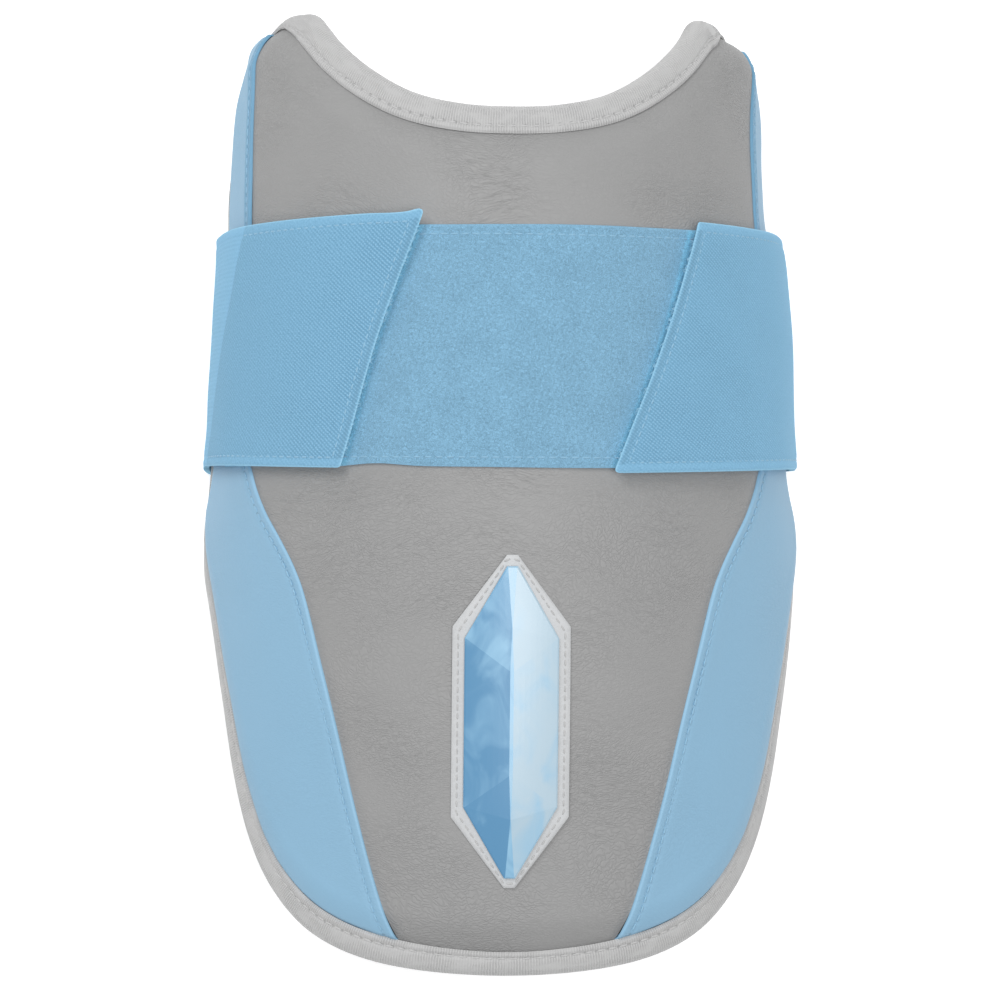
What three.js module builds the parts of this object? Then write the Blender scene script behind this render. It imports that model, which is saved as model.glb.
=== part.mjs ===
// Batter's elbow guard: a padded half-pipe shell with a bound edge, held on by one wide elastic strap.
// Millimetres, +Z up. The guard lies on its open side: X runs across the arm, Y along it towards the
// upper arm, and Z rises from the surface that the strap and the side edges rest on.
// The shell is drawn as a flat pattern and bent: s runs across it from the crest line, y along it.

import * as THREE from 'three';

// Cross-sections of the bent shell: half its width, its crest's height, and how far its edges stand aside
const SECTIONS = [
  { y: -135, half: 81.0, crest: 57.0, sway: 0.5 },
  { y: -75, half: 82.5, crest: 66.0, sway: 0.9 },
  { y: -15, half: 81.4, crest: 70.7, sway: 0.1 },
  { y: 5, half: 79.0, crest: 71.0, sway: -0.2 },
  { y: 18, half: 77.0, crest: 70.9, sway: 0.3 },
  { y: 58, half: 74.2, crest: 69.2, sway: -0.1 },
  { y: 74, half: 73.3, crest: 67.9, sway: -1.4 },
  { y: 104, half: 71.0, crest: 64.0, sway: -1.2 },
  { y: 135, half: 70.0, crest: 58.5, sway: -1.4 },
];

// Ears: beyond a height their outer corners roll inwards over a round
const EAR = { from: 111.3, radius: 13, inner: 46.4, outer: 69.3 };

// Right half of the finished edge, from the bottom centre to the top centre: degrees round the shell, and y
const EDGE = [
  { angle: 0, y: -123.8 },
  { angle: 26, y: -120.8 },
  { angle: 40, y: -114.0 },
  { angle: 50, y: -103.5 },
  { angle: 57, y: -91.5 },
  { angle: 63, y: -75.5 },
  { angle: 69, y: -54.8 },
  { angle: 77, y: -33.0 },
  { angle: 84.5, y: -20.0 },
  { angle: 90, y: -7.0 },
  { angle: 90, y: 40.0 },
  { angle: 90, y: 72.0 },
  { angle: 90, y: 96.0 },
  { angle: 87, y: 110.7 },
  { angle: 78, y: 123.9 },
  { angle: 61.3, y: 127.5 },
  { angle: 54.7, y: 125.5 },
  { angle: 48.5, y: 123.3 },
  { angle: 41.1, y: 115.8 },
  { angle: 33, y: 108.6 },
  { angle: 22, y: 101.8 },
  { angle: 11, y: 98.6 },
  { angle: 0, y: 97.8 },
];

// Seams between the front and side covers: degrees from the crest, the same on both sides
const SEAM = [
  { y: -104, angle: 23.3 },
  { y: -81, angle: 28.4 },
  { y: -58, angle: 33.0 },
  { y: -43, angle: 36.4 },
  { y: -28, angle: 39.9 },
  { y: -20, angle: 42.6 },
  { y: -12.5, angle: 46.6 },
  { y: -5, angle: 52.0 },
  { y: 3, angle: 56.6 },
  { y: 40, angle: 62.3 },
  { y: 76, angle: 66.0 },
  { y: 98, angle: 68.4 },
];
const SEAM_FOOT = 19.6;
const SEAM_HEAD = 69.4;

// Walls: the covers lie on the pad, and both thin out towards the edge
const GIRTH = 226;
const HALF_GIRTH = GIRTH / 2;
const GAP = 0.3;
const COVER_THICKNESS = 1.1;
const WALL_THICKNESS = 10;
const EDGE_FLAT = 5;
const EDGE_ROUND = 16;
const OUTER_DROP = 3.4;
const INNER_RISE = 2.5;
const WALL_INSET = 4;
const SEAM_GAP = 0.4;
const TIP_LENGTH = 8;

// Binding tape, folded over the edge
const TAPE_FACE = 8.3;
const TAPE_THICKNESS = 0.9;
const FOLD_RADIUS = 3.25;
const FOLD_LIFT = -5.45;
const TAPE_STATIONS = 124;
const TAPE_GAP = 0.55;

// Loop panel and strap
const LOOP = { angle: 66, bottom: 5.8, top: 66.6, thickness: 0.9 };
const HOOK = { thickness: 0.9, end: 62, setBack: 2, inset: 2 };
const STRAP = {
  width: 60.8,
  thickness: 1.6,
  centre: 36.4,
  settleFrom: 62,
  settleTo: 88,
  wallEnd: 86,
  cornerRadius: 3.2,
};
const STRAP_ENDS = {
  left: { bottom: 30.6, top: 17.6, centre: 37.9, wallLift: 0.35 },
  right: { bottom: 18.2, top: 39.5, centre: 36.0, wallLift: 0.9 },
};
const END_WIDTH = 64;
const NARROW_FROM = 20;
const NARROW_TO = 80;
const PRESS_MARGIN = 7;

// Badge: a six-sided patch with a ridged inlay
const BADGE = { y: -58, halfWidth: 13, halfHeight: 42, shoulder: 24, blunt: 1.2, thickness: 1.0 };
const INLAY = { border: 2.8, thickness: 0.7, ridge: 1.0 };

// Facets: columns run across the shell and rows along it
const ROWS = 22;
const FRONT_COLUMNS = 24;
const SIDE_COLUMNS = 6;
const LOOP_FACETS = { columns: 24, rows: 3 };
const HOOK_FACETS = { columns: 10, rows: 3 };
const BADGE_FACETS = { columns: 4, rows: 12 };
const STRAP_FACETS = { side: 12, corner: 4, back: 6, width: 5 };
const FOLD_FACETS = { outer: 3, inner: 2 };
const EDGE_POINTS = 360;
const GATHER = 0.08;
const STEP = 0.05;
const LEAST_CURVATURE = 0.001;

const { smoothstep, lerp } = THREE.MathUtils;
const loopTop = GAP + LOOP.thickness;
const hookTop = loopTop + GAP + HOOK.thickness;

// A smooth function through one column of a table, read by its y column
function through(rows, column) {
  const at = rows.map((row) => row.y);
  const spline = new THREE.CubicInterpolant(at, rows.map((row) => row[column]), 1);
  return (y) => spline.evaluate(THREE.MathUtils.clamp(y, at[0], at.at(-1)))[0];
}

const halfWidth = through(SECTIONS, 'half');
const crestHeight = through(SECTIONS, 'crest');
const edgeSway = through(SECTIONS, 'sway');
const fromAngle = (angle) => (angle / 90) * HALF_GIRTH;

// The side edges are pressed up where the strap passes under them
function rimHeight(y) {
  const bottom = STRAP.centre - STRAP.width / 2;
  const top = STRAP.centre + STRAP.width / 2;
  const pressed = smoothstep(y, bottom - PRESS_MARGIN, bottom) - smoothstep(y, top, top + PRESS_MARGIN);
  return pressed * (STRAP.thickness + GAP);
}

// Height and inward drop of a point that lies beyond the start of an ear's roll
function earRoll(angle, y) {
  const beyond = Math.max(0, y - EAR.from);
  const radius = EAR.radius / Math.max(LEAST_CURVATURE, smoothstep(angle, EAR.inner, EAR.outer));
  const bend = beyond / radius;
  return { y: y - beyond + radius * Math.sin(bend), drop: radius * (1 - Math.cos(bend)) };
}

// The covers' outer face, bent from the pattern
function face(s, y) {
  const turn = (s / HALF_GIRTH) * (Math.PI / 2);
  const roll = earRoll((Math.abs(s) / HALF_GIRTH) * 90, y);
  const rim = rimHeight(y);
  return new THREE.Vector3(
    (halfWidth(y) - roll.drop) * Math.sin(turn) + edgeSway(y) * (1 - Math.cos(turn)) ** 2,
    roll.y,
    rim + (crestHeight(y) - roll.drop - rim) * Math.cos(turn),
  );
}

// A point of the bent pattern, lifted off the covers' outer face along its normal
function shellPoint(s, y, lift) {
  const across = face(s + STEP, y).sub(face(s - STEP, y));
  const along = face(s, y + STEP).sub(face(s, y - STEP));
  return face(s, y).addScaledVector(across.cross(along).normalize(), lift);
}

// The finished edge as a closed curve in the flat pattern, from the bottom centre over the right side
function edgeCurve() {
  const right = EDGE.map((row) => new THREE.Vector3(fromAngle(row.angle), row.y, 0));
  const left = right.slice(1, -1).reverse().map((point) => new THREE.Vector3(-point.x, point.y, 0));
  const curve = new THREE.CatmullRomCurve3([...right, ...left], true, 'centripetal');
  curve.arcLengthDivisions = 3 * EDGE_POINTS;
  return curve;
}

const edge = edgeCurve();
const edgeLength = edge.getLength();
const edgePoints = edge.getSpacedPoints(EDGE_POINTS).map(keepOnShell);

function keepOnShell(point) {
  point.x = THREE.MathUtils.clamp(point.x, -HALF_GIRTH, HALF_GIRTH);
  return point;
}

// A pattern point at a share of the edge's length, moved inwards by a distance
function edgeAt(share, inwards) {
  const wrapped = THREE.MathUtils.euclideanModulo(share, 1);
  const point = keepOnShell(edge.getPointAt(wrapped));
  const tangent = edge.getTangentAt(wrapped);
  return new THREE.Vector2(point.x - tangent.y * inwards, point.y + tangent.x * inwards);
}

function distanceToEdge(s, y) {
  const place = new THREE.Vector3(s, y, 0);
  const nearest = new THREE.Vector3();
  const segment = new THREE.Line3();
  let distance = Infinity;
  for (let i = 1; i < edgePoints.length; i += 1) {
    segment.set(edgePoints[i - 1], edgePoints[i]).closestPointToPoint(place, true, nearest);
    distance = Math.min(distance, nearest.distanceTo(place));
  }
  return distance;
}

// How far the wall has thinned out: 0 well inside the shell, 1 under the binding
const thinning = (distance) => 1 - smoothstep(distance, EDGE_FLAT, EDGE_ROUND);

// The share of the edge's length at which it first reaches an angle, from the bottom or the top centre
function shareAtAngle(angle, fromTop) {
  const reach = fromAngle(angle);
  const last = edgePoints.length - 1;
  let i = fromTop ? Math.round(last / 2) : 0;
  while (edgePoints[i].x < reach) i += fromTop ? -1 : 1;
  return i / last;
}

const footShare = shareAtAngle(SEAM_FOOT, false);
const headShare = shareAtAngle(SEAM_HEAD, true);

// Seam of one side as a curve in the pattern, from its foot on the bottom edge to its head on the top edge
function seamCurve(sign) {
  const foot = edgeAt(sign * footShare, WALL_INSET);
  const head = edgeAt(sign * headShare, WALL_INSET);
  const rows = SEAM.map((row) => new THREE.Vector2(sign * fromAngle(row.angle), row.y));
  return new THREE.SplineCurve([foot, ...rows, head]);
}

const SIGN = { left: -1, right: 1 };
const seams = { left: seamCurve(SIGN.left), right: seamCurve(SIGN.right) };

// Even steps from 0 to 1 drawn together at both ends, where the wall rounds off
const gathered = (t) => t - GATHER * Math.sin(2 * Math.PI * t);

// The front panel spans the four curves round it: both seams, the bottom edge and the scooped top
function frontPattern(u, v, gap) {
  const along = gathered(v);
  const bottom = edgeAt(lerp(-footShare, footShare, u), WALL_INSET);
  const top = edgeAt(lerp(1 - headShare, headShare, u), WALL_INSET);
  const left = seams.left.getPointAt(along);
  const right = seams.right.getPointAt(along);
  const lower = seams.left.getPointAt(0).lerp(seams.right.getPointAt(0), u);
  const upper = seams.left.getPointAt(1).lerp(seams.right.getPointAt(1), u);
  const point = bottom.lerp(top, along).add(left.lerp(right, u)).sub(lower.lerp(upper, along));
  point.x += gap * (0.5 - u);
  return point;
}

// A side panel spans from the finished edge (u = 0) to its seam (u = 1)
function sidePattern(side, u, v, gap) {
  const tip = TIP_LENGTH / edgeLength;
  const along = gathered(v);
  const share = lerp(footShare + tip, headShare - tip, along);
  const outer = edgeAt(SIGN[side] * share, WALL_INSET);
  const inner = seams[side].getPointAt(along);
  inner.x += SIGN[side] * gap * 0.5;
  return outer.lerp(inner, u);
}

// Solid between two grids of points, both [column][row], the first one on the outer side
function slabGeometry(outer, inner) {
  const columns = outer.length;
  const rows = outer[0].length;
  const points = [...outer.flat(), ...inner.flat()];
  const index = [];
  const top = (i, j) => i * rows + j;
  const under = (i, j) => columns * rows + i * rows + j;
  const quad = (a, b, c, d) => index.push(a, b, c, a, c, d);
  for (let i = 0; i + 1 < columns; i += 1) {
    for (let j = 0; j + 1 < rows; j += 1) {
      quad(top(i, j), top(i + 1, j), top(i + 1, j + 1), top(i, j + 1));
      quad(under(i, j), under(i, j + 1), under(i + 1, j + 1), under(i + 1, j));
    }
    quad(under(i, 0), under(i + 1, 0), top(i + 1, 0), top(i, 0));
    quad(top(i, rows - 1), top(i + 1, rows - 1), under(i + 1, rows - 1), under(i, rows - 1));
  }
  for (let j = 0; j + 1 < rows; j += 1) {
    quad(top(0, j), top(0, j + 1), under(0, j + 1), under(0, j));
    quad(under(columns - 1, j), under(columns - 1, j + 1), top(columns - 1, j + 1), top(columns - 1, j));
  }
  const geometry = new THREE.BufferGeometry().setFromPoints(points);
  geometry.setIndex(index);
  geometry.computeVertexNormals();
  return geometry;
}

// Solid swept round a closed loop: sections of equal length, each a closed ring of points
function loopGeometry(sections) {
  const ring = sections[0].length;
  const index = [];
  const at = (i, j) => (i % sections.length) * ring + (j % ring);
  for (let i = 0; i < sections.length; i += 1) {
    for (let j = 0; j < ring; j += 1) {
      index.push(at(i, j), at(i + 1, j + 1), at(i + 1, j));
      index.push(at(i, j), at(i, j + 1), at(i + 1, j + 1));
    }
  }
  const geometry = new THREE.BufferGeometry().setFromPoints(sections.flat());
  geometry.setIndex(index);
  geometry.computeVertexNormals();
  return geometry;
}

const steps = (count) => Array.from({ length: count + 1 }, (_, i) => i / count);

function piece(name, geometry, finish) {
  const mesh = new THREE.Mesh(geometry, new THREE.MeshStandardMaterial({ metalness: 0, ...finish }));
  mesh.name = name;
  return mesh;
}

// Grid of shell points over a list of pattern columns, at a lift that depends on the wall's thinning
function shellGrid(columns, liftAt) {
  return columns.map((column) => column.map((point) => {
    const lift = liftAt(thinning(distanceToEdge(point.x, point.y)));
    return shellPoint(point.x, point.y, lift);
  }));
}

const coverTop = (thin) => -OUTER_DROP * thin;
const coverUnder = (thin) => coverTop(thin) - COVER_THICKNESS;
const padTop = (thin) => coverUnder(thin) - GAP;
const padUnder = (thin) => -WALL_THICKNESS + INNER_RISE * thin;

function patternColumns(count, pointAt) {
  return steps(count).map((u) => steps(ROWS).map((v) => pointAt(u, v)));
}

function sideColumns(side, gap) {
  return patternColumns(SIDE_COLUMNS, (u, v) => sidePattern(side, gathered(u), v, gap));
}

function padShell() {
  const left = sideColumns('left', 0);
  const front = patternColumns(FRONT_COLUMNS, (u, v) => frontPattern(u, v, 0));
  const right = sideColumns('right', 0).reverse();
  const columns = [...left, ...front.slice(1, -1), ...right];
  return slabGeometry(shellGrid(columns, padTop), shellGrid(columns, padUnder));
}

function coverGeometry(columns) {
  return slabGeometry(shellGrid(columns, coverTop), shellGrid(columns, coverUnder));
}

const frontCover = () => coverGeometry(patternColumns(FRONT_COLUMNS, (u, v) => frontPattern(u, v, SEAM_GAP)));

function sideCover(side) {
  const columns = sideColumns(side, SEAM_GAP);
  return coverGeometry(side === 'left' ? columns : columns.reverse());
}

// Section of the folded tape: distance in from the edge and lift, outer face first
function tapeSection() {
  const lip = (distance) => coverTop(thinning(distance)) + TAPE_GAP;
  const back = (distance) => padUnder(thinning(distance)) - TAPE_GAP;
  const fold = (radius, count) => steps(count).map((t) => ({
    inwards: FOLD_RADIUS - radius * Math.sin(Math.PI * t),
    lift: FOLD_LIFT + radius * Math.cos(Math.PI * t),
  }));
  return [
    { inwards: TAPE_FACE, lift: lip(TAPE_FACE) + TAPE_THICKNESS },
    ...fold(FOLD_RADIUS, FOLD_FACETS.outer),
    { inwards: TAPE_FACE, lift: back(TAPE_FACE) - TAPE_THICKNESS },
    { inwards: TAPE_FACE, lift: back(TAPE_FACE) },
    ...fold(FOLD_RADIUS - TAPE_THICKNESS, FOLD_FACETS.inner).reverse(),
    { inwards: TAPE_FACE, lift: lip(TAPE_FACE) },
  ];
}

function edgeBinding() {
  const section = tapeSection();
  const stations = Array.from({ length: TAPE_STATIONS }, (_, i) => i / TAPE_STATIONS);
  return loopGeometry(stations.map((share) => section.map(({ inwards, lift }) => {
    const point = edgeAt(share, inwards);
    return shellPoint(point.x, point.y, lift);
  })));
}

// A flat piece laid on the covers: pattern points by (u, v), between two lifts
function laidGeometry({ columns, rows }, pointAt, under, top) {
  const grid = (lift) => steps(columns).map((u) => steps(rows).map((v) => {
    const point = pointAt(u, v);
    return shellPoint(point.x, point.y, typeof lift === 'function' ? lift(u, v) : lift);
  }));
  return slabGeometry(grid(top), grid(under));
}

function loopPanel() {
  const reach = fromAngle(LOOP.angle);
  const pointAt = (u, v) => new THREE.Vector2(lerp(-reach, reach, u), lerp(LOOP.bottom, LOOP.top, v));
  return laidGeometry(LOOP_FACETS, pointAt, GAP, loopTop);
}

// Degrees from the crest at which the strap's slanted end lies, by share of its width from the bottom
const endAngle = (side, q) => lerp(STRAP_ENDS[side].bottom, STRAP_ENDS[side].top, q);

// The strap is drawn narrower where it is stretched round the sides and the back
function strapY(side, angle, q) {
  const drawn = THREE.MathUtils.clamp((angle - NARROW_FROM) / (NARROW_TO - NARROW_FROM), 0, 1);
  const centre = lerp(STRAP_ENDS[side].centre, STRAP.centre, drawn);
  return centre + (q - 0.5) * lerp(END_WIDTH, STRAP.width, drawn);
}

function hookPatch(side) {
  const margin = HOOK.inset / END_WIDTH;
  const setBack = (HOOK.setBack / HALF_GIRTH) * 90;
  const pointAt = (u, v) => {
    const q = lerp(margin, 1 - margin, v);
    const along = side === 'right' ? u : 1 - u;
    const angle = lerp(endAngle(side, q) + setBack, HOOK.end, along);
    return new THREE.Vector2(SIGN[side] * fromAngle(angle), strapY(side, angle, q));
  };
  return laidGeometry(HOOK_FACETS, pointAt, loopTop + GAP, hookTop);
}

// The strap's lift over the front and sides: on the hook patches, then down on to the side covers
function strapLift(side, angle) {
  const settled = smoothstep(angle, STRAP.settleFrom, STRAP.settleTo);
  return lerp(hookTop + GAP, STRAP_ENDS[side].wallLift, settled);
}

// One side of the strap at a share of its width: from its front end down the side and round the lower corner
function strapSide(side, q, lift) {
  const sign = SIGN[side];
  const points = steps(STRAP_FACETS.side).map((t) => {
    const angle = lerp(endAngle(side, q), STRAP.wallEnd, t);
    return shellPoint(sign * fromAngle(angle), strapY(side, angle, q), strapLift(side, angle) + lift);
  });
  const footLift = strapLift(side, STRAP.wallEnd);
  const foot = shellPoint(sign * fromAngle(STRAP.wallEnd), strapY(side, 90, q), footLift);
  const centreX = Math.abs(foot.x) - STRAP.cornerRadius;
  const centreZ = STRAP.thickness + STRAP.cornerRadius;
  const radius = STRAP.cornerRadius + lift;
  const corner = steps(STRAP_FACETS.corner).map((t) => new THREE.Vector3(
    sign * (centreX + radius * Math.cos((Math.PI / 2) * t)),
    foot.y,
    centreZ - radius * Math.sin((Math.PI / 2) * t),
  ));
  return [...points, ...corner];
}

function strapGrid(lift) {
  const rows = steps(STRAP_FACETS.width).map((q) => {
    const right = strapSide('right', q, lift);
    const left = strapSide('left', q, lift).reverse();
    const back = steps(STRAP_FACETS.back).slice(1, -1).map((t) => right.at(-1).clone().lerp(left[0], t));
    return [...right, ...back, ...left];
  });
  return rows[0].map((_, i) => rows.map((row) => row[i]));
}

const strapBand = () => slabGeometry(strapGrid(STRAP.thickness), strapGrid(0));

// Half the badge's width at a height from its centre
function badgeHalfWidth(y, border) {
  const taper = (BADGE.halfHeight - border - Math.abs(y)) / (BADGE.halfHeight - BADGE.shoulder);
  return lerp(BADGE.blunt, BADGE.halfWidth - border, Math.min(1, taper));
}

function badgeGeometry(border, under, top) {
  const reach = BADGE.halfHeight - border;
  const pointAt = (u, v) => {
    const y = lerp(-reach, reach, v);
    return new THREE.Vector2((2 * u - 1) * badgeHalfWidth(y, border), BADGE.y + y);
  };
  return laidGeometry(BADGE_FACETS, pointAt, under, top);
}

const badgePatch = () => badgeGeometry(0, GAP, GAP + BADGE.thickness);

function badgeInlay() {
  const under = GAP + BADGE.thickness + GAP;
  const ridge = (u, v) => {
    const y = (2 * v - 1) * (BADGE.halfHeight - INLAY.border);
    const share = badgeHalfWidth(y, INLAY.border) / (BADGE.halfWidth - INLAY.border);
    return under + INLAY.thickness + INLAY.ridge * share * (1 - Math.abs(2 * u - 1));
  };
  return badgeGeometry(INLAY.border, under, ridge);
}

const LEATHER = { roughness: 0.55 };
const BLUE_LEATHER = { ...LEATHER, color: 0x91b9d4 };
const HOOK_FABRIC = { color: 0x86b4d2, roughness: 0.9 };

const elbowGuard = new THREE.Group();
elbowGuard.add(
  piece('pad_shell', padShell(), { color: 0x9a9c9e, roughness: 0.95 }),
  piece('front_cover', frontCover(), { ...LEATHER, color: 0xa5a5a5 }),
  piece('side_cover_left', sideCover('left'), BLUE_LEATHER),
  piece('side_cover_right', sideCover('right'), BLUE_LEATHER),
  piece('edge_binding', edgeBinding(), { color: 0xc3c3c3, roughness: 0.85 }),
  piece('loop_panel', loopPanel(), { color: 0x88b4cf, roughness: 0.95 }),
  piece('hook_patch_left', hookPatch('left'), HOOK_FABRIC),
  piece('hook_patch_right', hookPatch('right'), HOOK_FABRIC),
  piece('strap', strapBand(), { color: 0x80b0ce, roughness: 0.85 }),
  piece('badge_patch', badgePatch(), { ...LEATHER, color: 0xc4c6c8 }),
  piece('badge_inlay', badgeInlay(), { color: 0x9fcbe6, roughness: 0.3 }),
);

export default elbowGuard;
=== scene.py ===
import math

import bpy
import numpy as np
from mathutils import Matrix, kdtree


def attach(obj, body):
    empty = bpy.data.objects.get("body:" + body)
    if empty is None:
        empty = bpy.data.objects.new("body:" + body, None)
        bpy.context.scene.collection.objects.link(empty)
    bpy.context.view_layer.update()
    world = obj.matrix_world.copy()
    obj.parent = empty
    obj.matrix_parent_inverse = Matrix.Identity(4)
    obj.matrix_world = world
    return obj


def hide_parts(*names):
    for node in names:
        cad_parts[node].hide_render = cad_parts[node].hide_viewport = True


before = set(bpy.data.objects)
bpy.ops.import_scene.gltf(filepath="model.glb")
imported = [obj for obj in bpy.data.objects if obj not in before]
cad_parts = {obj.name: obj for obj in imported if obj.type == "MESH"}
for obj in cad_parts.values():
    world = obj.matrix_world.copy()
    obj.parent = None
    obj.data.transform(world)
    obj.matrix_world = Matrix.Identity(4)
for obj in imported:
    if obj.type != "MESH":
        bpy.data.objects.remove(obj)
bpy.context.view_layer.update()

# Lengths are in millimetres and angles in degrees. A piece is turned to metres when its points are placed.
# The shell is a flat pattern that is bent: s runs across it from the crest line, y along it.
MM = 0.001

# Cross-sections of the bent shell: y, half its width, its crest's height, how far its edges stand aside
SECTIONS = (
    (-135, 81.0, 57.0, 0.5),
    (-75, 82.1, 66.0, 1.4),
    (-15, 81.0, 70.7, 0.7),
    (5, 78.8, 71.0, 0.2),
    (18, 77.0, 70.9, 0.3),
    (58, 74.5, 69.2, 0.2),
    (74, 73.3, 67.9, -1.4),
    (104, 71.0, 64.0, -1.2),
    (135, 70.0, 58.5, -1.4),
)

# Ears' outer corners: the y from which they roll in, how tightly, the angle where that starts,
# how far the tape is drawn in there, and how far the leather stands out lower down and at the top.
# Below the table, the angle where the rolling is full, and the angles and y between which the rest sets in.
EARS = {
    "left": {"from": 113, "radius": 14, "inner": 46.4, "tuck": 3.4, "low": -0.9, "high": 0.1},
    "right": {"from": 111.3, "radius": 13, "inner": 44, "tuck": 4.0, "low": -0.5, "high": 0.3},
}
EAR_OUTER, LEAST_ROLL = 69.3, 0.001
EAR_TUCK_ANGLE, EAR_TUCK_Y = (62, 82), (98, 110)
EAR_FILL_ANGLE, EAR_FILL_Y, EAR_FULL_Y = (60, 70), (99, 112), (111.5, 118.5)

# Right half of the finished edge, from the bottom centre to the top centre: angle round the shell, y
EDGE = (
    (0, -124.2),
    (26, -120.9),
    (40, -114.0),
    (50, -103.5),
    (57, -91.5),
    (63, -75.5),
    (69, -54.8),
    (77, -33.0),
    (84.5, -20.0),
    (90, -7.0),
    (90, 40.0),
    (90, 72.0),
    (90, 96.0),
    (87, 110.7),
    (78, 123.9),
    (62.5, 127.0),
    (54.7, 124.8),
    (48.5, 122.7),
    (41.1, 115.4),
    (33, 108.6),
    (22, 101.8),
    (11, 98.6),
    (0, 97.8),
)

# Seams between the front and side covers: y, angle from the crest
SEAM = (
    (-104, 23.3),
    (-81, 28.1),
    (-58, 32.5),
    (-43, 35.7),
    (-28, 39.2),
    (-20, 42.0),
    (-12.5, 46.0),
    (-5, 51.0),
    (3, 55.4),
    (12, 58.4),
    (40, 61.2),
    (76, 64.0),
    (98, 66.2),
)
SEAM_FOOT = 19.6
SEAM_HEAD = {"left": 67.6, "right": 74.5}
EDGE_POINTS, SEAM_POINTS = 6001, 2001
LOOP_CURVE_STEPS, LINE_CURVE_STEPS, HEADING_SPAN = 80, 60, 8

# Walls
HALF_GIRTH = 113
GAP = 0.3
COVER_THICKNESS = 1.1
WALL_THICKNESS = 10
EDGE_FLAT, EDGE_ROUND = 5, 16
OUTER_DROP, INNER_RISE = 3.4, 2.5
WALL_INSET = 4
TIP_LENGTH = 8
FRONT_STEPS, PAD_FRONT_STEPS, PAD_FLANK_STEPS, PAD_LONG_STEPS = (140, 190), 120, 30, 120

# Give of the flanks: how far beside the strap the edges are pressed up, how far the strap sinks in above
# and below its middle, between which angles, and how far beside it the leather is drawn in too;
# then how far each flank is drawn in above the strap, and the y where that starts and ends
PRESS_MARGIN = 9
PRESS_ABOVE, PRESS_BELOW, PRESS_EASE, PRESS_ANGLE, PRESS_BESIDE = 0.7, 1.5, 1.5, (58, 74), 14
FLANK_ANGLE = (66, 80)
FLANK_TUCK = {
    "left": {"depth": 0.4, "start": (52, 62), "end": (78, 100)},
    "right": {"depth": 0.6, "start": (56, 66), "end": (84, 98)},
}

# Leather's fullness beside the tape, by distance past the tape's lip
PUFF_START, PUFF_END, UNDER_LIP, FILL_END = (-0.3, 0.9), (0.7, 8.7), (-0.8, 1.6), (4, 13)
INNER_TUCK_END = (0, 8)
FRONT_PUFF, SIDE_PUFF, EAR_PUFF, EAR_PUFF_Y = 0.35, 1.2, 0.6, (60, 95)

# Gentle swells of the surfaces: height, length, seed
FRONT_SWELL, PAD_SWELL = (0.14, 46, 3), (0.25, 40, 21)
SIDE_SWELL = {"left": (0.1, 34, 7), "right": (0.1, 34, 9)}
LOOP_SWELL, STRAP_SWELL = (0.1, 17, 5), (0.12, 22, 12)
SWELL_WAVES, SWELL_LENGTHS = 7, (0.7, 1.6)

# Seams: the front cover dips to them, and the side covers' edges are folded under and topstitched
SEAM_DIP, SEAM_DIP_WIDTH = 0.3, 1.6
FOLD_WIDTH, FOLD_RISE, FOLD_ROUND, FOLD_TUCK, FOLD_FLAT = 9, 0.4, 0.6, 0.4, 0.5
FOLD_BAND, FOLD_BAND_MOST, FOLD_BAND_SHARE, FOLD_BAND_EASE = 10, 0.45, 0.42, 1.7
SIDE_STEPS = (56, 400)

# Stitches: how far in, pitch, size as a length, a width and a height, how far sunk,
# and their pull as a width, a depth and what waves add to it
TOPSTITCH_IN, TOPSTITCH_PITCH, TOPSTITCH_SIZE = 2.4, 2.6, (2.0, 0.55, 0.42)
TOPSTITCH_PULL, TOPSTITCH_SINK = (0.7, 0.14, 0.16), 0.14
TOPSTITCH_LEVEL, TOPSTITCH_ENDS, TOPSTITCH_POINTS = 0.85, 60, 1500
TAPE_STITCH_SHARE, TAPE_STITCH_PITCH, TAPE_STITCH_SIZE = 0.54, 2.9, (2.1, 0.55, 0.42)
TAPE_STITCH_PULL, TAPE_STITCH_SINK = (0.13, 0.2, 0.18), 0.3
BORDER_STITCH_IN, BORDER_STITCH_PITCH = 2.5, 2.2
LOOP_STITCH_PITCH, LOOP_STITCH_SIZE = 2.6, (1.9, 0.5, 0.42)
LOOP_STITCH_PULL, LOOP_STITCH_SINK = (0.8, 0.12, 0.12), 0.18
STRAP_STITCH_SIZE, STRAP_STITCH_SINK = (1.5, 0.5, 0.4), 0.22
STRAP_STITCH_PULL_WIDTH, STRAP_STITCH_PULL = 0.8, 0.18
BADGE_STITCH_IN, BADGE_STITCH_PITCH, BADGE_STITCH_SIZE = 1.3, 2.2, (1.6, 0.45, 0.4)
BADGE_STITCH_PULL_WIDTH, BADGE_STITCH_PULL, BADGE_STITCH_SINK = 0.45, 0.12, 0.05
TRACK_POINTS, BADGE_STITCH_POINTS = 400, 2400
BEAD_SEGMENTS, BEAD_RINGS, BEAD_BLUNTNESS = 8, 6, 0.6

# Binding tape
TAPE_FACE, TAPE_THICKNESS, TAPE_GAP = 8.3, 0.9, 0.2
TAPE_FOLD_RADIUS, TAPE_FOLD_LIFT = 3.25, -5.45
TAPE_LIP_DROP, TAPE_LIP_FROM = 0.55, 0.84
TAPE_LESS_AT_BOTTOM, TAPE_BOTTOM_SPAN = 1.5, 28
TAPE_LESS_AT_TOP, TAPE_TOP_SPAN = 0.6, 50
TAPE_EAR_ANGLE, TAPE_LESS_AT_EAR = 65, 3.4
TAPE_EAR_SPAN = {"left": 16.5, "right": 13}
TAPE_FLARE, TAPE_FLARE_Y, TAPE_FLARE_SPAN = 0.7, -23, 11
TAPE_SLACK, TAPE_SLACK_LENGTH, TAPE_SLACK_SHARE, TAPE_SLACK_SPAN = 0.06, 19, 0.85, 0.3
TAPE_SLACK_DRIFT, TAPE_SLACK_DRIFT_LENGTH = 1.2, 31
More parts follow.
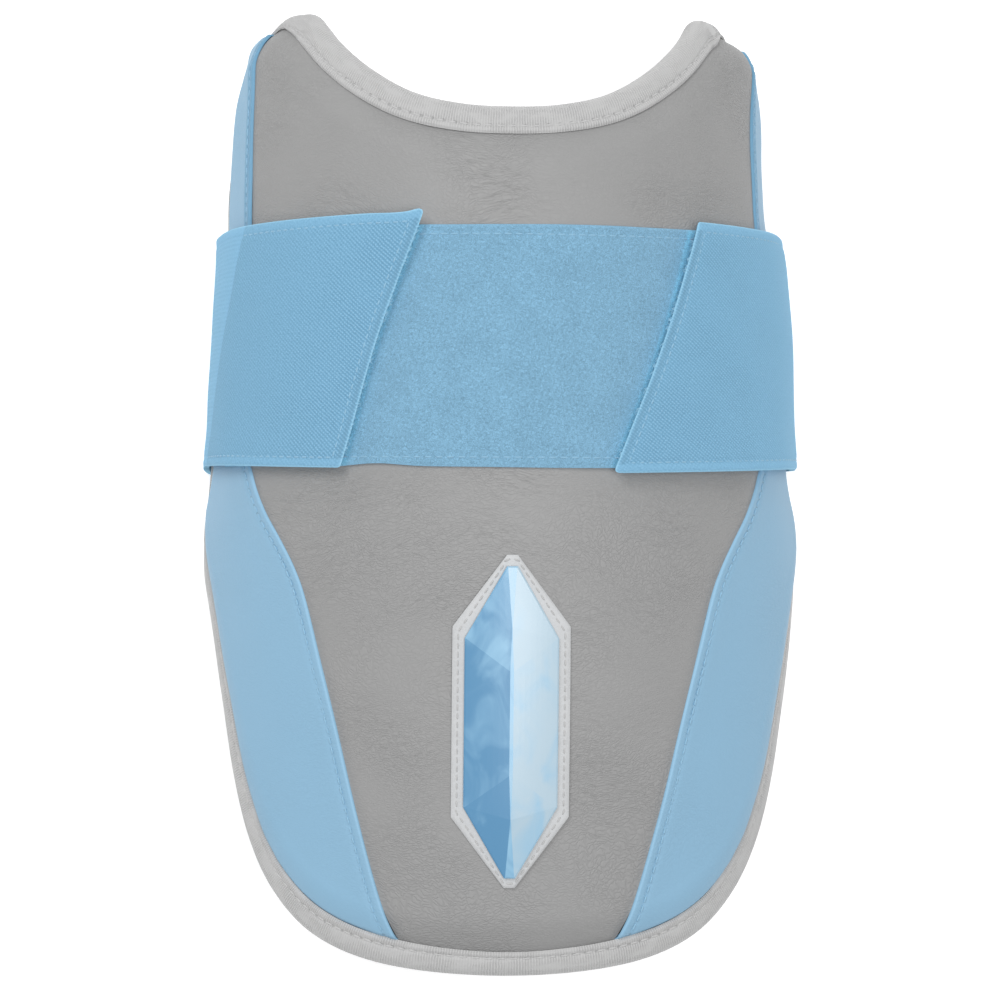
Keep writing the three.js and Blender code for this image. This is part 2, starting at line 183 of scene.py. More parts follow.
TAPE_STEPS, TAPE_BACK_STEPS, TAPE_FOLD_STEPS, TAPE_FRONT_STEPS, TAPE_EASING = 1440, 3, 12, 17, 60

# Loop panel, hook patches and strap
LOOP_ANGLE, LOOP_BOTTOM, LOOP_TOP, LOOP_THICKNESS = 66, 5.8, 66.6, 0.9
LOOP_WAVER, LOOP_WAVER_LENGTH = 0.1, 9
LOOP_NICK, LOOP_NICK_S, LOOP_NICK_SPAN = 0.9, -32, 8
LOOP_EDGE_DROP, LOOP_EDGE_WIDTH = 0.4, 0.5
LOOP_STEPS = (200, 76)
HOOK_THICKNESS, HOOK_END, HOOK_SET_BACK, HOOK_INSET = 0.9, 62, 2, 2
HOOK_STEPS = 40
STRAP_WIDTH, STRAP_THICKNESS, STRAP_CENTRE = 60.8, 1.6, 36.4
STRAP_END_WIDTH, NARROW_FROM, NARROW_TO = 64, 20, 80
SETTLE_FROM, SETTLE_TO, WALL_END, STRAP_CORNER = 62, 88, 86, 3.2

# Strap's front ends: angles at their lower and upper corners, how far they bow back between,
# their middle's y, the strap's lift on the side cover, the radii of the lower and upper corners,
# the lower and upper angles of the end tab's joint, how far the strap drops where it turns to the back,
# and how far the upper corner stands loose
STRAP_ENDS = {
    "left": {
        "bottom": 31.6,
        "top": 16.6,
        "bow": 1.8,
        "centre": 37.3,
        "wall_lift": 0.35,
        "rounds": (0.6, 1.3),
        "joint": (76.0, 59.8),
        "dip": 2.4,
        "loose": 1.3,
    },
    "right": {
        "bottom": 17.8,
        "top": 37.8,
        "bow": 1.0,
        "centre": 36.5,
        "wall_lift": 1.1,
        "rounds": (1.4, 0.4),
        "joint": (85.0, 85.0),
        "dip": 0.4,
        "loose": 0.5,
    },
}

# The ends' bow, their loose and curled upper corners, their dropped edges, distances square to their slant,
# and how far past the tab's joint the turn to the back and the back itself count as
BOW_EASE = 1.3
LOOSE_LENGTH, LOOSE_WIDTH = 13, 15
CURL, CURL_LENGTH, CURL_WIDTH = 0.55, 1.9, 4
CURL_DIP, CURL_DIP_AT, CURL_DIP_LENGTH = 0.3, 6, 5
STRAP_EDGE_DROP, STRAP_EDGE_WIDTH = 0.45, 0.4
RIM_ON_SLANT, INSET_ON_SLANT = 0.95, 1.05
PAST_JOINT_AT_CORNER, PAST_JOINT_AT_BACK = 5, 40
STRAP_FLANK_STEPS, STRAP_CORNER_STEPS, STRAP_BACK_STEPS = 130, 12, 60
STRAP_WIDE_STEPS, STRAP_CROWDING = 76, 0.7

# Frayed threads: ranges of their draws and half their thickness
FRAYED_THREADS, FRAYED_SEED, FRAYED_THIN = 90, 31, 0.08
FRAYED_PLACE, FRAYED_LEVEL, FRAYED_REACH = (0.04, 0.94), (0.2, 0.85), (0.3, 1.0)
FRAYED_LEAN, FRAYED_RISE = (-1.3, 1.3), (-0.3, 0.4)

# Badge
BADGE_Y, BADGE_HALF_WIDTH, BADGE_HALF_HEIGHT, BADGE_SHOULDER = -58, 13, 42, 24
BADGE_BLUNT, BADGE_THICKNESS, BADGE_SLOPE = 1.2, 1.0, 0.85
BADGE_EDGE_DROP, BADGE_EDGE_WIDTH = 0.55, 0.4
BADGE_STEPS = (44, 150)
INLAY_BORDER, INLAY_THICKNESS, INLAY_RIDGE = 2.8, 0.7, 1.0
INLAY_WALL_SHARE, INLAY_RIM, INLAY_RIM_RISE = 0.7, 0.35, 0.2
INLAY_RIDGE_SCALE, INLAY_CUTS = (0.04, 0.62, 1), 7
# Painted light and reflection on the inlay's facets: a middle value, and how much facing right and facing up
# add
INLAY_LIGHT, INLAY_LIGHT_ACROSS, INLAY_LIGHT_UP = 0.5, 0.4, 0.16
INLAY_SHARP_ACROSS, INLAY_SHARP_UP = 40, 30

LOOP_LIFT = GAP + LOOP_THICKNESS
HOOK_LIFT = LOOP_LIFT + GAP + HOOK_THICKNESS
SIGN = {"left": -1, "right": 1}

# How far points are moved to find a slope, how near they merge, and the angle past which an edge stays sharp
NUDGE, MERGE_WITHIN, CREASE_ANGLE = 0.05, 0.001, 50


# The bent shell

def lerp(a, b, t):
    return a + (b - a) * t


def smoothstep(x, low, high):
    t = np.clip((x - low) / (high - low), 0, 1)
    return t * t * (3 - 2 * t)


def bell(x, centre, width):
    """1 at the centre, falling smoothly to 0 on both sides."""
    return np.exp(-(((x - centre) / width) ** 2))


def through(table, column):
    """A smooth function through one column of a table, read by its first column."""
    at = np.array([row[0] for row in table], float)
    values = np.array([row[column] for row in table], float)
    steep = np.diff(values) / np.diff(at)
    slope = np.concatenate([steep[:1], (steep[1:] + steep[:-1]) / 2, steep[-1:]])

    def read(y):
        y = np.clip(y, at[0], at[-1])
        i = np.clip(np.searchsorted(at, y, side="right") - 1, 0, len(at) - 2)
        width = at[i + 1] - at[i]
        t = (y - at[i]) / width
        start = values[i] * (1 + 2 * t) + slope[i] * width * t
        end = values[i + 1] * (3 - 2 * t) + slope[i + 1] * width * (t - 1)
        return start * (1 - t) ** 2 + end * t**2

    return read


half_width = through(SECTIONS, 1)
crest_height = through(SECTIONS, 2)
edge_sway = through(SECTIONS, 3)


def from_angle(angle):
    """The pattern's run over an angle round the shell."""
    return np.asarray(angle) / 90 * HALF_GIRTH


def to_angle(s):
    """The angle round the shell of a run across the pattern."""
    return np.asarray(s) / HALF_GIRTH * 90


def rim_height(y):
    """The side edges are pressed up where the strap passes under them."""
    bottom = STRAP_CENTRE - STRAP_WIDTH / 2
    top = STRAP_CENTRE + STRAP_WIDTH / 2
    pressed = smoothstep(y, bottom - PRESS_MARGIN, bottom) - smoothstep(y, top, top + PRESS_MARGIN)
    return pressed * (STRAP_THICKNESS + GAP)


def ear(s, what):
    """One measure of the ear on each point's side."""
    return np.where(s < 0, EARS["left"][what], EARS["right"][what])


def ear_roll(s, y):
    """Height and inward drop where the ears' outer corners roll in."""
    beyond = np.maximum(0, y - ear(s, "from"))
    angle = to_angle(np.abs(s))
    radius = ear(s, "radius") / np.maximum(LEAST_ROLL, smoothstep(angle, ear(s, "inner"), EAR_OUTER))
    bend = beyond / radius
    return y - beyond + radius * np.sin(bend), radius * (1 - np.cos(bend))


def face(s, y):
    """The covers' outer face, bent from the pattern."""
    turn = s / HALF_GIRTH * (math.pi / 2)
    height, drop = ear_roll(s, y)
    rim = rim_height(y)
    x = (half_width(y) - drop) * np.sin(turn) + edge_sway(y) * (1 - np.cos(turn)) ** 2
    z = rim + (crest_height(y) - drop - rim) * np.cos(turn)
    return np.stack([x, height, z], -1)


def unit(vectors):
    return vectors / np.linalg.norm(vectors, axis=-1, keepdims=True)


def shell_normal(s, y):
    crosswise = face(s + NUDGE, y) - face(s - NUDGE, y)
    lengthwise = face(s, y + NUDGE) - face(s, y - NUDGE)
    return unit(np.cross(crosswise, lengthwise))


def shell_point(s, y, lift):
    """A point of the bent pattern, lifted off the covers' outer face."""
    s, y, lift = np.broadcast_arrays(np.asarray(s, float), np.asarray(y, float), np.asarray(lift, float))
    return face(s, y) + shell_normal(s, y) * lift[..., None]


# The pattern's outline and seams

def evenly(track, count):
    """A track of points, spaced evenly along its length."""
    run = np.concatenate([[0], np.cumsum(np.linalg.norm(np.diff(track, axis=0), axis=1))])
    at = np.linspace(0, run[-1], count)
    return np.stack([np.interp(at, run, column) for column in track.T], -1)


def cubic(start, end, leave, arrive, t):
    """Curves from starts to ends, which they leave and reach along given directions, joined in a row."""
    curve = start + leave * t + (3 * (end - start) - 2 * leave - arrive) * t**2
    return (curve + (2 * (start - end) + leave + arrive) * t**3).reshape(-1, 2)


def smooth_loop(points):
    """A closed curve through the points, as many small steps."""
    p0, p1, p2, p3 = (np.roll(points, shift, axis=0)[:, None] for shift in (1, 0, -1, -2))
    d0 = np.sqrt(np.linalg.norm(p1 - p0, axis=-1, keepdims=True))
    d1 = np.sqrt(np.linalg.norm(p2 - p1, axis=-1, keepdims=True))
    d2 = np.sqrt(np.linalg.norm(p3 - p2, axis=-1, keepdims=True))
    leave = ((p1 - p0) / d0 - (p2 - p0) / (d0 + d1) + (p2 - p1) / d1) * d1
    arrive = ((p2 - p1) / d1 - (p3 - p1) / (d1 + d2) + (p3 - p2) / d2) * d1
    t = np.linspace(0, 1, LOOP_CURVE_STEPS, endpoint=False)[None, :, None]
    curve = cubic(p1, p2, leave, arrive, t)
    return np.concatenate([curve, curve[:1]])


def smooth_line(points):
    """An open curve through the points, as many small steps."""
    padded = np.concatenate([points[:1], points, points[-1:]])
    p0, p1, p2, p3 = (padded[i : len(padded) - 3 + i, None] for i in range(4))
    t = np.linspace(0, 1, LINE_CURVE_STEPS)[None, :, None]
    return cubic(p1, p2, (p2 - p0) / 2, (p3 - p1) / 2, t)


def along(track, share):
    """Points at shares of a track's length."""
    at = np.asarray(share) * (len(track) - 1)
    return np.stack([np.interp(at, np.arange(len(track)), column) for column in track.T], -1)


def edge_outline():
    right = np.array([(from_angle(angle), y) for angle, y in EDGE])
    left = right[1:-1][::-1] * (-1, 1)
    outline = evenly(smooth_loop(np.concatenate([right, left])), EDGE_POINTS)
    outline[:, 0] = np.clip(outline[:, 0], -HALF_GIRTH, HALF_GIRTH)
    return outline


edge = edge_outline()
edge_length = np.linalg.norm(np.diff(edge, axis=0), axis=1).sum()
edge_heading = unit(np.roll(edge[:-1], -HEADING_SPAN, axis=0) - np.roll(edge[:-1], HEADING_SPAN, axis=0))
edge_heading = np.concatenate([edge_heading, edge_heading[:1]])


def edge_at(share, inwards):
    """Pattern points at shares of the edge's length, moved inwards."""
    wrapped = np.mod(share, 1)
    point, heading = along(edge, wrapped), along(edge_heading, wrapped)
    inwards = np.asarray(inwards)[..., None] * np.ones(point.shape)
    return point + np.stack([-heading[..., 1], heading[..., 0]], -1) * inwards


def edge_tree():
    tree = kdtree.KDTree(len(edge))
    for i, (s, y) in enumerate(edge):
        tree.insert((s, y, 0), i)
    tree.balance()
    return tree


nearest_edge = edge_tree()


def edge_reach(pattern):
    """How far in from the edge points lie, and how far past the tape's lip."""
    found = [nearest_edge.find((s, y, 0))[1:] for s, y in pattern.reshape(-1, 2)]
    place, distance = np.moveaxis(np.array(found).reshape(*pattern.shape[:-1], 2), -1, 0)
    return distance, distance - tape_face(place / (len(edge) - 1))


def thinning(distance):
    """How far the wall has thinned out: 0 well inside the shell, 1 under the tape."""
    return 1 - smoothstep(distance, EDGE_FLAT, EDGE_ROUND)


def share_at_angle(angle, at_head):
    """Share of the edge's length where its right half passes an angle, near its head or its foot."""
    right = edge[: len(edge) // 2, 0]
    reached = np.nonzero(right >= from_angle(angle))[0]
    return (reached[-1] if at_head else reached[0]) / (len(edge) - 1)


foot_share = share_at_angle(SEAM_FOOT, False)
head_share = {side: share_at_angle(angle, True) for side, angle in SEAM_HEAD.items()}


def seam_track(side):
    sign = SIGN[side]
    rows = [(sign * from_angle(angle), y) for y, angle in SEAM]
    ends = edge_at(np.array([sign * foot_share, sign * head_share[side]]), WALL_INSET)
    return evenly(smooth_line(np.array([ends[0], *rows, ends[1]])), SEAM_POINTS)


seams = {side: seam_track(side) for side in SIGN}
seam_length = np.linalg.norm(np.diff(seams["right"], axis=0), axis=1).sum()


def strap_press(angle, y):
    """How far the drawn strap sinks into the soft flanks, and draws in the leather beside it."""
    place = (y - STRAP_CENTRE) / (STRAP_WIDTH / 2)
    beside = np.maximum(0, np.abs(place) - 1) * STRAP_WIDTH / 2
    pull = np.where(place > 0, PRESS_ABOVE, PRESS_BELOW) * np.minimum(1, np.abs(place)) ** PRESS_EASE
    return pull * smoothstep(np.abs(angle), *PRESS_ANGLE) * bell(beside, 0, PRESS_BESIDE)


def unevenness(s, y, height, size, seed):
    """A gentle, seeded swell of about that height over lengths of about that size."""
    draw = np.random.default_rng(seed)
    swell = 0
    for _ in range(SWELL_WAVES):
        heading, phase = draw.uniform(0, 2 * math.pi, 2)
        length = size * draw.uniform(*SWELL_LENGTHS)
        run = s * math.cos(heading) + y * math.sin(heading)
        swell = swell + np.sin(2 * math.pi * run / length + phase)
    return height * (swell / (SWELL_WAVES / 2))


def pull_of_stitches(inside, row, run, pitch, width, depth, waves):
    """How far a row of stitches draws a surface in, in waves of its pitch."""
    wave = 0.5 + 0.5 * np.cos(2 * math.pi * run / pitch)
    return bell(inside, row, width) * (depth + waves * wave)


# Meshes: a sheet is a grid whose points are moved to their places, then thickened

def only(piece):
    bpy.ops.object.select_all(action="DESELECT")
    piece.select_set(True)
    bpy.context.view_layer.objects.active = piece


def edit_all(piece):
    """Opens a piece for editing, with all of it selected."""
    only(piece)
    bpy.ops.object.mode_set(mode="EDIT")
    bpy.ops.mesh.select_all(action="SELECT")


def apply_modifier(piece, kind, **settings):
    only(piece)
    modifier = piece.modifiers.new(kind.lower(), kind)
    for name, value in settings.items():
        setattr(modifier, name, value)
    bpy.ops.object.modifier_apply(modifier=modifier.name)


def grid_piece(name, points, charts=None, marks=None):
    """A grid moved on to points [column, row], with pattern charts as UV maps and marks as attributes."""
    columns, rows = points.shape[0] - 1, points.shape[1] - 1
    bpy.ops.object.select_all(action="DESELECT")
    bpy.ops.mesh.primitive_grid_add(x_subdivisions=columns, y_subdivisions=rows, size=2)
    piece = bpy.context.object
    piece.name = piece.data.name = name
    mesh = piece.data
    flat = np.empty(3 * len(mesh.vertices), np.float32)
    mesh.vertices.foreach_get("co", flat)
    flat = flat.reshape(-1, 3)
    i = np.rint((flat[:, 0] + 1) / 2 * columns).astype(int)
    j = np.rint((flat[:, 1] + 1) / 2 * rows).astype(int)
    mesh.vertices.foreach_set("co", (points[i, j] * MM).astype(np.float32).ravel())
    corners = np.empty(len(mesh.loops), np.int32)
    mesh.loops.foreach_get("vertex_index", corners)
    mesh.uv_layers.remove(mesh.uv_layers[0])
    for chart, places in (charts or {}).items():
        layer = mesh.uv_layers.new(name=chart)
        layer.uv.foreach_set("vector", places[i, j][corners].astype(np.float32).ravel())
    for mark, values in (marks or {}).items():
        attribute = mesh.attributes.new(mark, "FLOAT", "POINT")
        attribute.data.foreach_set("value", values[i, j].astype(np.float32))
    mesh.update()
    return piece


def thicken(piece, thickness):
    apply_modifier(piece, "SOLIDIFY", thickness=thickness * MM, offset=-1)
    only(piece)
    bpy.ops.object.shade_smooth_by_angle(angle=math.radians(CREASE_ANGLE))
    return piece


def close_between(upper, lower):
    """Two grids with equal borders become one closed body."""
    only(upper)
    lower.select_set(True)
    bpy.ops.object.join()
    bpy.ops.object.mode_set(mode="EDIT")
    bpy.ops.mesh.select_mode(type="EDGE")
    bpy.ops.mesh.select_all(action="DESELECT")
    bpy.ops.mesh.select_non_manifold(extend=False)
    bpy.ops.mesh.bridge_edge_loops()
    bpy.ops.mesh.select_all(action="SELECT")
    bpy.ops.mesh.normals_make_consistent(inside=False)
    bpy.ops.object.mode_set(mode="OBJECT")
    bpy.ops.object.shade_smooth_by_angle(angle=math.radians(CREASE_ANGLE))
    return upper


def thread_bead():
    """The mesh of one stitch of thread, two units long, wide and high."""
    bpy.ops.object.select_all(action="DESELECT")
    bpy.ops.mesh.primitive_uv_sphere_add(segments=BEAD_SEGMENTS, ring_count=BEAD_RINGS, radius=1)
    ball = bpy.context.object
    edit_all(ball)
    bpy.ops.transform.rotate(value=math.pi / 2, orient_axis="Y", center_override=(0, 0, 0))
    bpy.ops.object.mode_set(mode="OBJECT")
    bpy.ops.object.shade_smooth()
    bead = ball.data
    for vertex in bead.vertices:
        vertex.co.x = math.copysign(abs(vertex.co.x) ** BEAD_BLUNTNESS, vertex.co.x)
    bead.uv_layers.remove(bead.uv_layers[0])
    bpy.data.objects.remove(ball)
    return bead


bead = thread_bead()


def stitch_row(track, lift_at, pitch, size):
    """Stitches along a pattern track: their centres, and vectors of half their length, width and height."""
    length, width, height = size
    run = np.linalg.norm(np.diff(track[:, :2], axis=0), axis=1).sum()
    count = max(2, int(round(run / pitch)))
    share = (np.arange(count) + 0.5) / count
    reach = 0.5 * length / run
    ends = [along(track, np.clip(share + step, 0, 1)) for step in (-reach, reach)]
    middle = along(track, share)
    tips = [shell_point(end[:, 0], end[:, 1], lift_at(end)) for end in ends]
    centre = shell_point(middle[:, 0], middle[:, 1], lift_at(middle))
    normal = shell_normal(middle[:, 0], middle[:, 1])
    heading = unit(tips[1] - tips[0])
    side = np.cross(normal, heading)
    return centre, heading * length / 2, side * width / 2, normal * height / 2


def stitch_piece(name, rows):
    """All the stitches of some rows as one mesh, each a copy of the bead laid along its row."""
    bpy.ops.object.select_all(action="DESELECT")
    for row in rows:
        for centre, heading, side, normal in zip(*row):
            stitch = bpy.data.objects.new(name, bead.copy())
            axes = np.stack([heading, side, normal, centre], -1) * MM
            stitch.data.transform(Matrix([*axes.tolist(), (0, 0, 0, 1)]))
            bpy.context.collection.objects.link(stitch)
            stitch.select_set(True)
    bpy.context.view_layer.objects.active = stitch
    bpy.ops.object.join()
    stitch.name = stitch.data.name = name
    return stitch


# Pad and covers

def cover_lift(thin):
    return -OUTER_DROP * thin


def puffed_lift(distance, past_lip, amount):
    """The covers' outer face, which puffs up against the tape's lip before it dives under it."""
    puff = smoothstep(past_lip, *PUFF_START) * (1 - smoothstep(past_lip, *PUFF_END))
    return cover_lift(thinning(distance)) + amount * puff


def side_puff(y):
    """The flanks puff out fully up to the strap, and half as much at the ears."""
    return lerp(SIDE_PUFF, EAR_PUFF, smoothstep(y, *EAR_PUFF_Y))


def flank_tuck(s, y):
    """Above the strap the flanks' leather is drawn in a little."""
    drawn_in = 0
    for side, tuck in FLANK_TUCK.items():
        lasting = smoothstep(y, *tuck["start"]) * (1 - smoothstep(y, *tuck["end"]))
        drawn_in = drawn_in + tuck["depth"] * (s * SIGN[side] > 0) * lasting
    return drawn_in * smoothstep(to_angle(np.abs(s)), *FLANK_ANGLE)


def ear_tuck(s, y):
    """The bound edge is drawn in round the ears' outer corners."""
    return ear(s, "tuck") * smoothstep(to_angle(np.abs(s)), *EAR_TUCK_ANGLE) * smoothstep(y, *EAR_TUCK_Y)


def ear_fill(s, y):
    """How full the leather stands beside the drawn-in edge: it sags lower down and is full at the top."""
    amount = lerp(ear(s, "low"), ear(s, "high"), smoothstep(y, *EAR_FULL_Y))
    return amount * smoothstep(to_angle(np.abs(s)), *EAR_FILL_ANGLE) * smoothstep(y, *EAR_FILL_Y)


def soft_press(s, y, past_lip):
    """How far the flanks give way under the strap and along the upper edges."""
    under_lip = 1 - smoothstep(past_lip, *UNDER_LIP)
    drawn_in = flank_tuck(s, y) + ear_tuck(s, y) * under_lip
    filled = ear_fill(s, y) * (1 - under_lip) * (1 - smoothstep(past_lip, *FILL_END))
    return strap_press(to_angle(s), y) + drawn_in - filled


def front_pattern(u, v):
    """The front panel spans both seams, the bottom edge and the scooped top."""
    bottom = edge_at(lerp(-foot_share, foot_share, u), WALL_INSET)
    top = edge_at(lerp(1 - head_share["left"], head_share["right"], u), WALL_INSET)
    left, right = along(seams["left"], v), along(seams["right"], v)
    u, v = u[..., None], v[..., None]
    lower = lerp(seams["left"][0], seams["right"][0], u)
    upper = lerp(seams["left"][-1], seams["right"][-1], u)
    return lerp(bottom, top, v) + lerp(left, right, u) - lerp(lower, upper, v)


def side_span(side, v):
    """A side panel's seam point and its outer point, at shares along the seam."""
    tip = TIP_LENGTH / edge_length
    share = lerp(foot_share + tip, head_share[side] - tip, v)
    return along(seams[side], v), edge_at(SIGN[side] * share, WALL_INSET)


def shares(count):
    return np.linspace(0, 1, count + 1)


def pattern_area(points):
    """Flat area in square metres inside the border of a grid of pattern points."""
    border = np.concatenate([points[:, 0], points[-1, 1:], points[-2::-1, -1], points[0, -2:0:-1]])
    s, y = border.T
    return abs(np.sum(s * np.roll(y, -1) - y * np.roll(s, -1))) / 2 * MM**2


def front_cover():
    u, v = np.meshgrid(*map(shares, FRONT_STEPS), indexing="ij")
    pattern = front_pattern(u, v)
    s, y = pattern[..., 0], pattern[..., 1]
    width = np.linalg.norm(pattern[-1] - pattern[0], axis=-1)
    from_seam = np.minimum(u, 1 - u) * width
    distance, past_lip = edge_reach(pattern)
    lift = puffed_lift(distance, past_lip, FRONT_PUFF) - soft_press(s, y, past_lip)
    lift = lift + unevenness(s, y, *FRONT_SWELL) - SEAM_DIP * bell(from_seam, 0, SEAM_DIP_WIDTH)
    piece = grid_piece("front_cover_leather", shell_point(s, y, lift), {"chart": pattern})
    return thicken(piece, COVER_THICKNESS), pattern_area(pattern)


def fold_profile(inside):
    """Rise of the folded seam edge over the panel, by distance in from the seam."""
    nose = np.sqrt(np.clip(1 - (1 - np.minimum(inside, FOLD_ROUND) / FOLD_ROUND) ** 2, 0, 1))
    return (FOLD_RISE + FOLD_TUCK) * nose - FOLD_TUCK - FOLD_RISE * smoothstep(inside, FOLD_FLAT, FOLD_WIDTH)


def side_cover(side):
    """A side panel, cut more finely across its folded seam edge."""
    columns, rows = SIDE_STEPS
    v = shares(rows)
    seam, outer = side_span(side, v)
    heading = unit(np.gradient(seam, axis=0))
    ray = outer - seam
    width = np.linalg.norm(ray, axis=-1)
    square = np.abs(heading[:, 0] * ray[:, 1] - heading[:, 1] * ray[:, 0]) / width
    near = np.minimum(FOLD_BAND, FOLD_BAND_MOST * width * square)
    share = shares(columns)[:, None]
    in_band = near * (share / FOLD_BAND_SHARE) ** FOLD_BAND_EASE
    past_band = lerp(near, width * square, (share - FOLD_BAND_SHARE) / (1 - FOLD_BAND_SHARE))
    inside = np.where(share < FOLD_BAND_SHARE, in_band, past_band)
    pattern = seam + (ray / width[:, None]) * (inside / square)[..., None]
    s, y = pattern[..., 0], pattern[..., 1]
    run = v * seam_length
    distance, past_lip = edge_reach(pattern)
    lift = puffed_lift(distance, past_lip, side_puff(y)) + fold_profile(inside) - soft_press(s, y, past_lip)
    lift = lift - pull_of_stitches(inside, TOPSTITCH_IN, run, TOPSTITCH_PITCH, *TOPSTITCH_PULL)
    lift = lift + unevenness(s, y, *SIDE_SWELL[side])
    points = shell_point(s, y, lift)
    seam_chart = np.stack([np.broadcast_to(run, inside.shape), inside], -1)
    if side == "left":
        points, pattern, seam_chart = points[::-1], pattern[::-1], seam_chart[::-1]
    charts = {"chart": pattern, "seam": seam_chart}
    piece = thicken(grid_piece(f"side_cover_{side}_leather", points, charts), COVER_THICKNESS)
    return piece, pattern_area(pattern)


def seam_stitches(side):
    track = seams[side]
    heading = unit(np.gradient(track, axis=0))
    outwards = np.stack([heading[:, 1], -heading[:, 0]], -1) * SIGN[side]
    row = evenly((track + outwards * TOPSTITCH_IN)[TOPSTITCH_ENDS:-TOPSTITCH_ENDS], TOPSTITCH_POINTS)

    def lift_at(points):
        s, y = points.T
        distance, past_lip = edge_reach(points)
        cover = puffed_lift(distance, past_lip, side_puff(y)) - soft_press(s, y, past_lip)
        return cover + FOLD_RISE * TOPSTITCH_LEVEL - TOPSTITCH_SINK

    return stitch_row(row, lift_at, TOPSTITCH_PITCH, TOPSTITCH_SIZE)


def pad_shell():
    v = shares(PAD_LONG_STEPS)
    front = front_pattern(*np.meshgrid(shares(PAD_FRONT_STEPS), v, indexing="ij"))
    flank = shares(PAD_FLANK_STEPS)[:, None, None]
    left_seam, left_reach = side_span("left", v)
    right_seam, right_reach = side_span("right", v)
    left = lerp(left_reach, left_seam, flank)[:-1]
    right = lerp(right_seam, right_reach, flank)[1:]
    pattern = np.concatenate([left, front, right])
    s, y = pattern[..., 0], pattern[..., 1]
    distance, past_lip = edge_reach(pattern)
    thin = thinning(distance)
    upper = shell_point(s, y, cover_lift(thin) - COVER_THICKNESS - 2 * GAP - soft_press(s, y, past_lip))
    drawn_in = ear_tuck(s, y) * (1 - smoothstep(past_lip, *INNER_TUCK_END))
    inner = -WALL_THICKNESS + INNER_RISE * thin + unevenness(s, y, *PAD_SWELL) - drawn_in
    lower = shell_point(s, y, inner)
    top = grid_piece("pad_shell_foam", upper, {"chart": pattern})
    return close_between(top, grid_piece("pad_under", lower, {"chart": pattern}))


# Binding tape

def tape_face(share):
    """How far the tape reaches in over the front: less at the bottom, the top and the ears' tips."""
    tip = share_at_angle(TAPE_EAR_ANGLE, True)
    from_bottom = np.minimum(share, 1 - share)
    from_top = np.abs(share - 0.5)
    from_right, from_left = np.abs(share - tip), np.abs(share - 1 + tip)
    from_ear = np.minimum(from_right / TAPE_EAR_SPAN["right"], from_left / TAPE_EAR_SPAN["left"])
    less = TAPE_LESS_AT_BOTTOM * bell(from_bottom * edge_length, 0, TAPE_BOTTOM_SPAN)
    less = less + TAPE_LESS_AT_TOP * bell(from_top * edge_length, 0, TAPE_TOP_SPAN)
    return TAPE_FACE - less - TAPE_LESS_AT_EAR * np.exp(-((from_ear * edge_length) ** 4))


def eased(ring, amount):
    """Rounds a closed ring of pattern points where it turns tightly, by as much as each column allows."""
    ring = ring[:-1]
    amount = amount[..., None] / 2
    for _ in range(TAPE_EASING):
        between = (np.roll(ring, 1, axis=0) + np.roll(ring, -1, axis=0)) / 2
        ring = lerp(ring, between, amount)
    return np.concatenate([ring, ring[:1]])


def tape_front(inwards):
    return cover_lift(thinning(inwards)) + TAPE_GAP + TAPE_THICKNESS


def tape_back(inwards):
    return -WALL_THICKNESS + INNER_RISE * thinning(inwards) - TAPE_GAP - TAPE_THICKNESS


def tape_section(face_width):
    """The tape's outer face from its back lip to its front lip: distance in, lift and share of its front."""
    turn = np.linspace(math.pi, 0, TAPE_FOLD_STEPS + 1)[None]
    fold_in = TAPE_FOLD_RADIUS * (1 - np.sin(turn)) + 0 * face_width
    fold_lift = TAPE_FOLD_LIFT + TAPE_FOLD_RADIUS * np.cos(turn) + 0 * face_width
    back_share = shares(TAPE_BACK_STEPS)[None, :-1]
    back_in = lerp(TAPE_FACE, TAPE_FOLD_RADIUS, back_share) + 0 * face_width
    back_lift = lerp(tape_back(TAPE_FACE), fold_lift[:, :1], back_share)
    front_share = shares(TAPE_FRONT_STEPS)[None, 1:]
    front_in = lerp(TAPE_FOLD_RADIUS, face_width, front_share)
    front_lift = lerp(fold_lift[:, -1:], tape_front(face_width), front_share)
    front_lift = front_lift - TAPE_LIP_DROP * smoothstep(front_share, TAPE_LIP_FROM, 1)
    inwards = np.concatenate([back_in, fold_in, front_in], 1)
    front = np.concatenate([0 * back_share - 1, 0 * turn - 1, front_share], 1)
    return inwards, np.concatenate([back_lift, fold_lift, front_lift], 1), front


def tape_flare(share):
    """The bound edge stands out a little at the left, below the strap, and is drawn in round the ears."""
    s, y = np.moveaxis(edge_at(share, 0), -1, 0)
    return TAPE_FLARE * (s < 0) * bell(y, TAPE_FLARE_Y, TAPE_FLARE_SPAN) - ear_tuck(s, y)


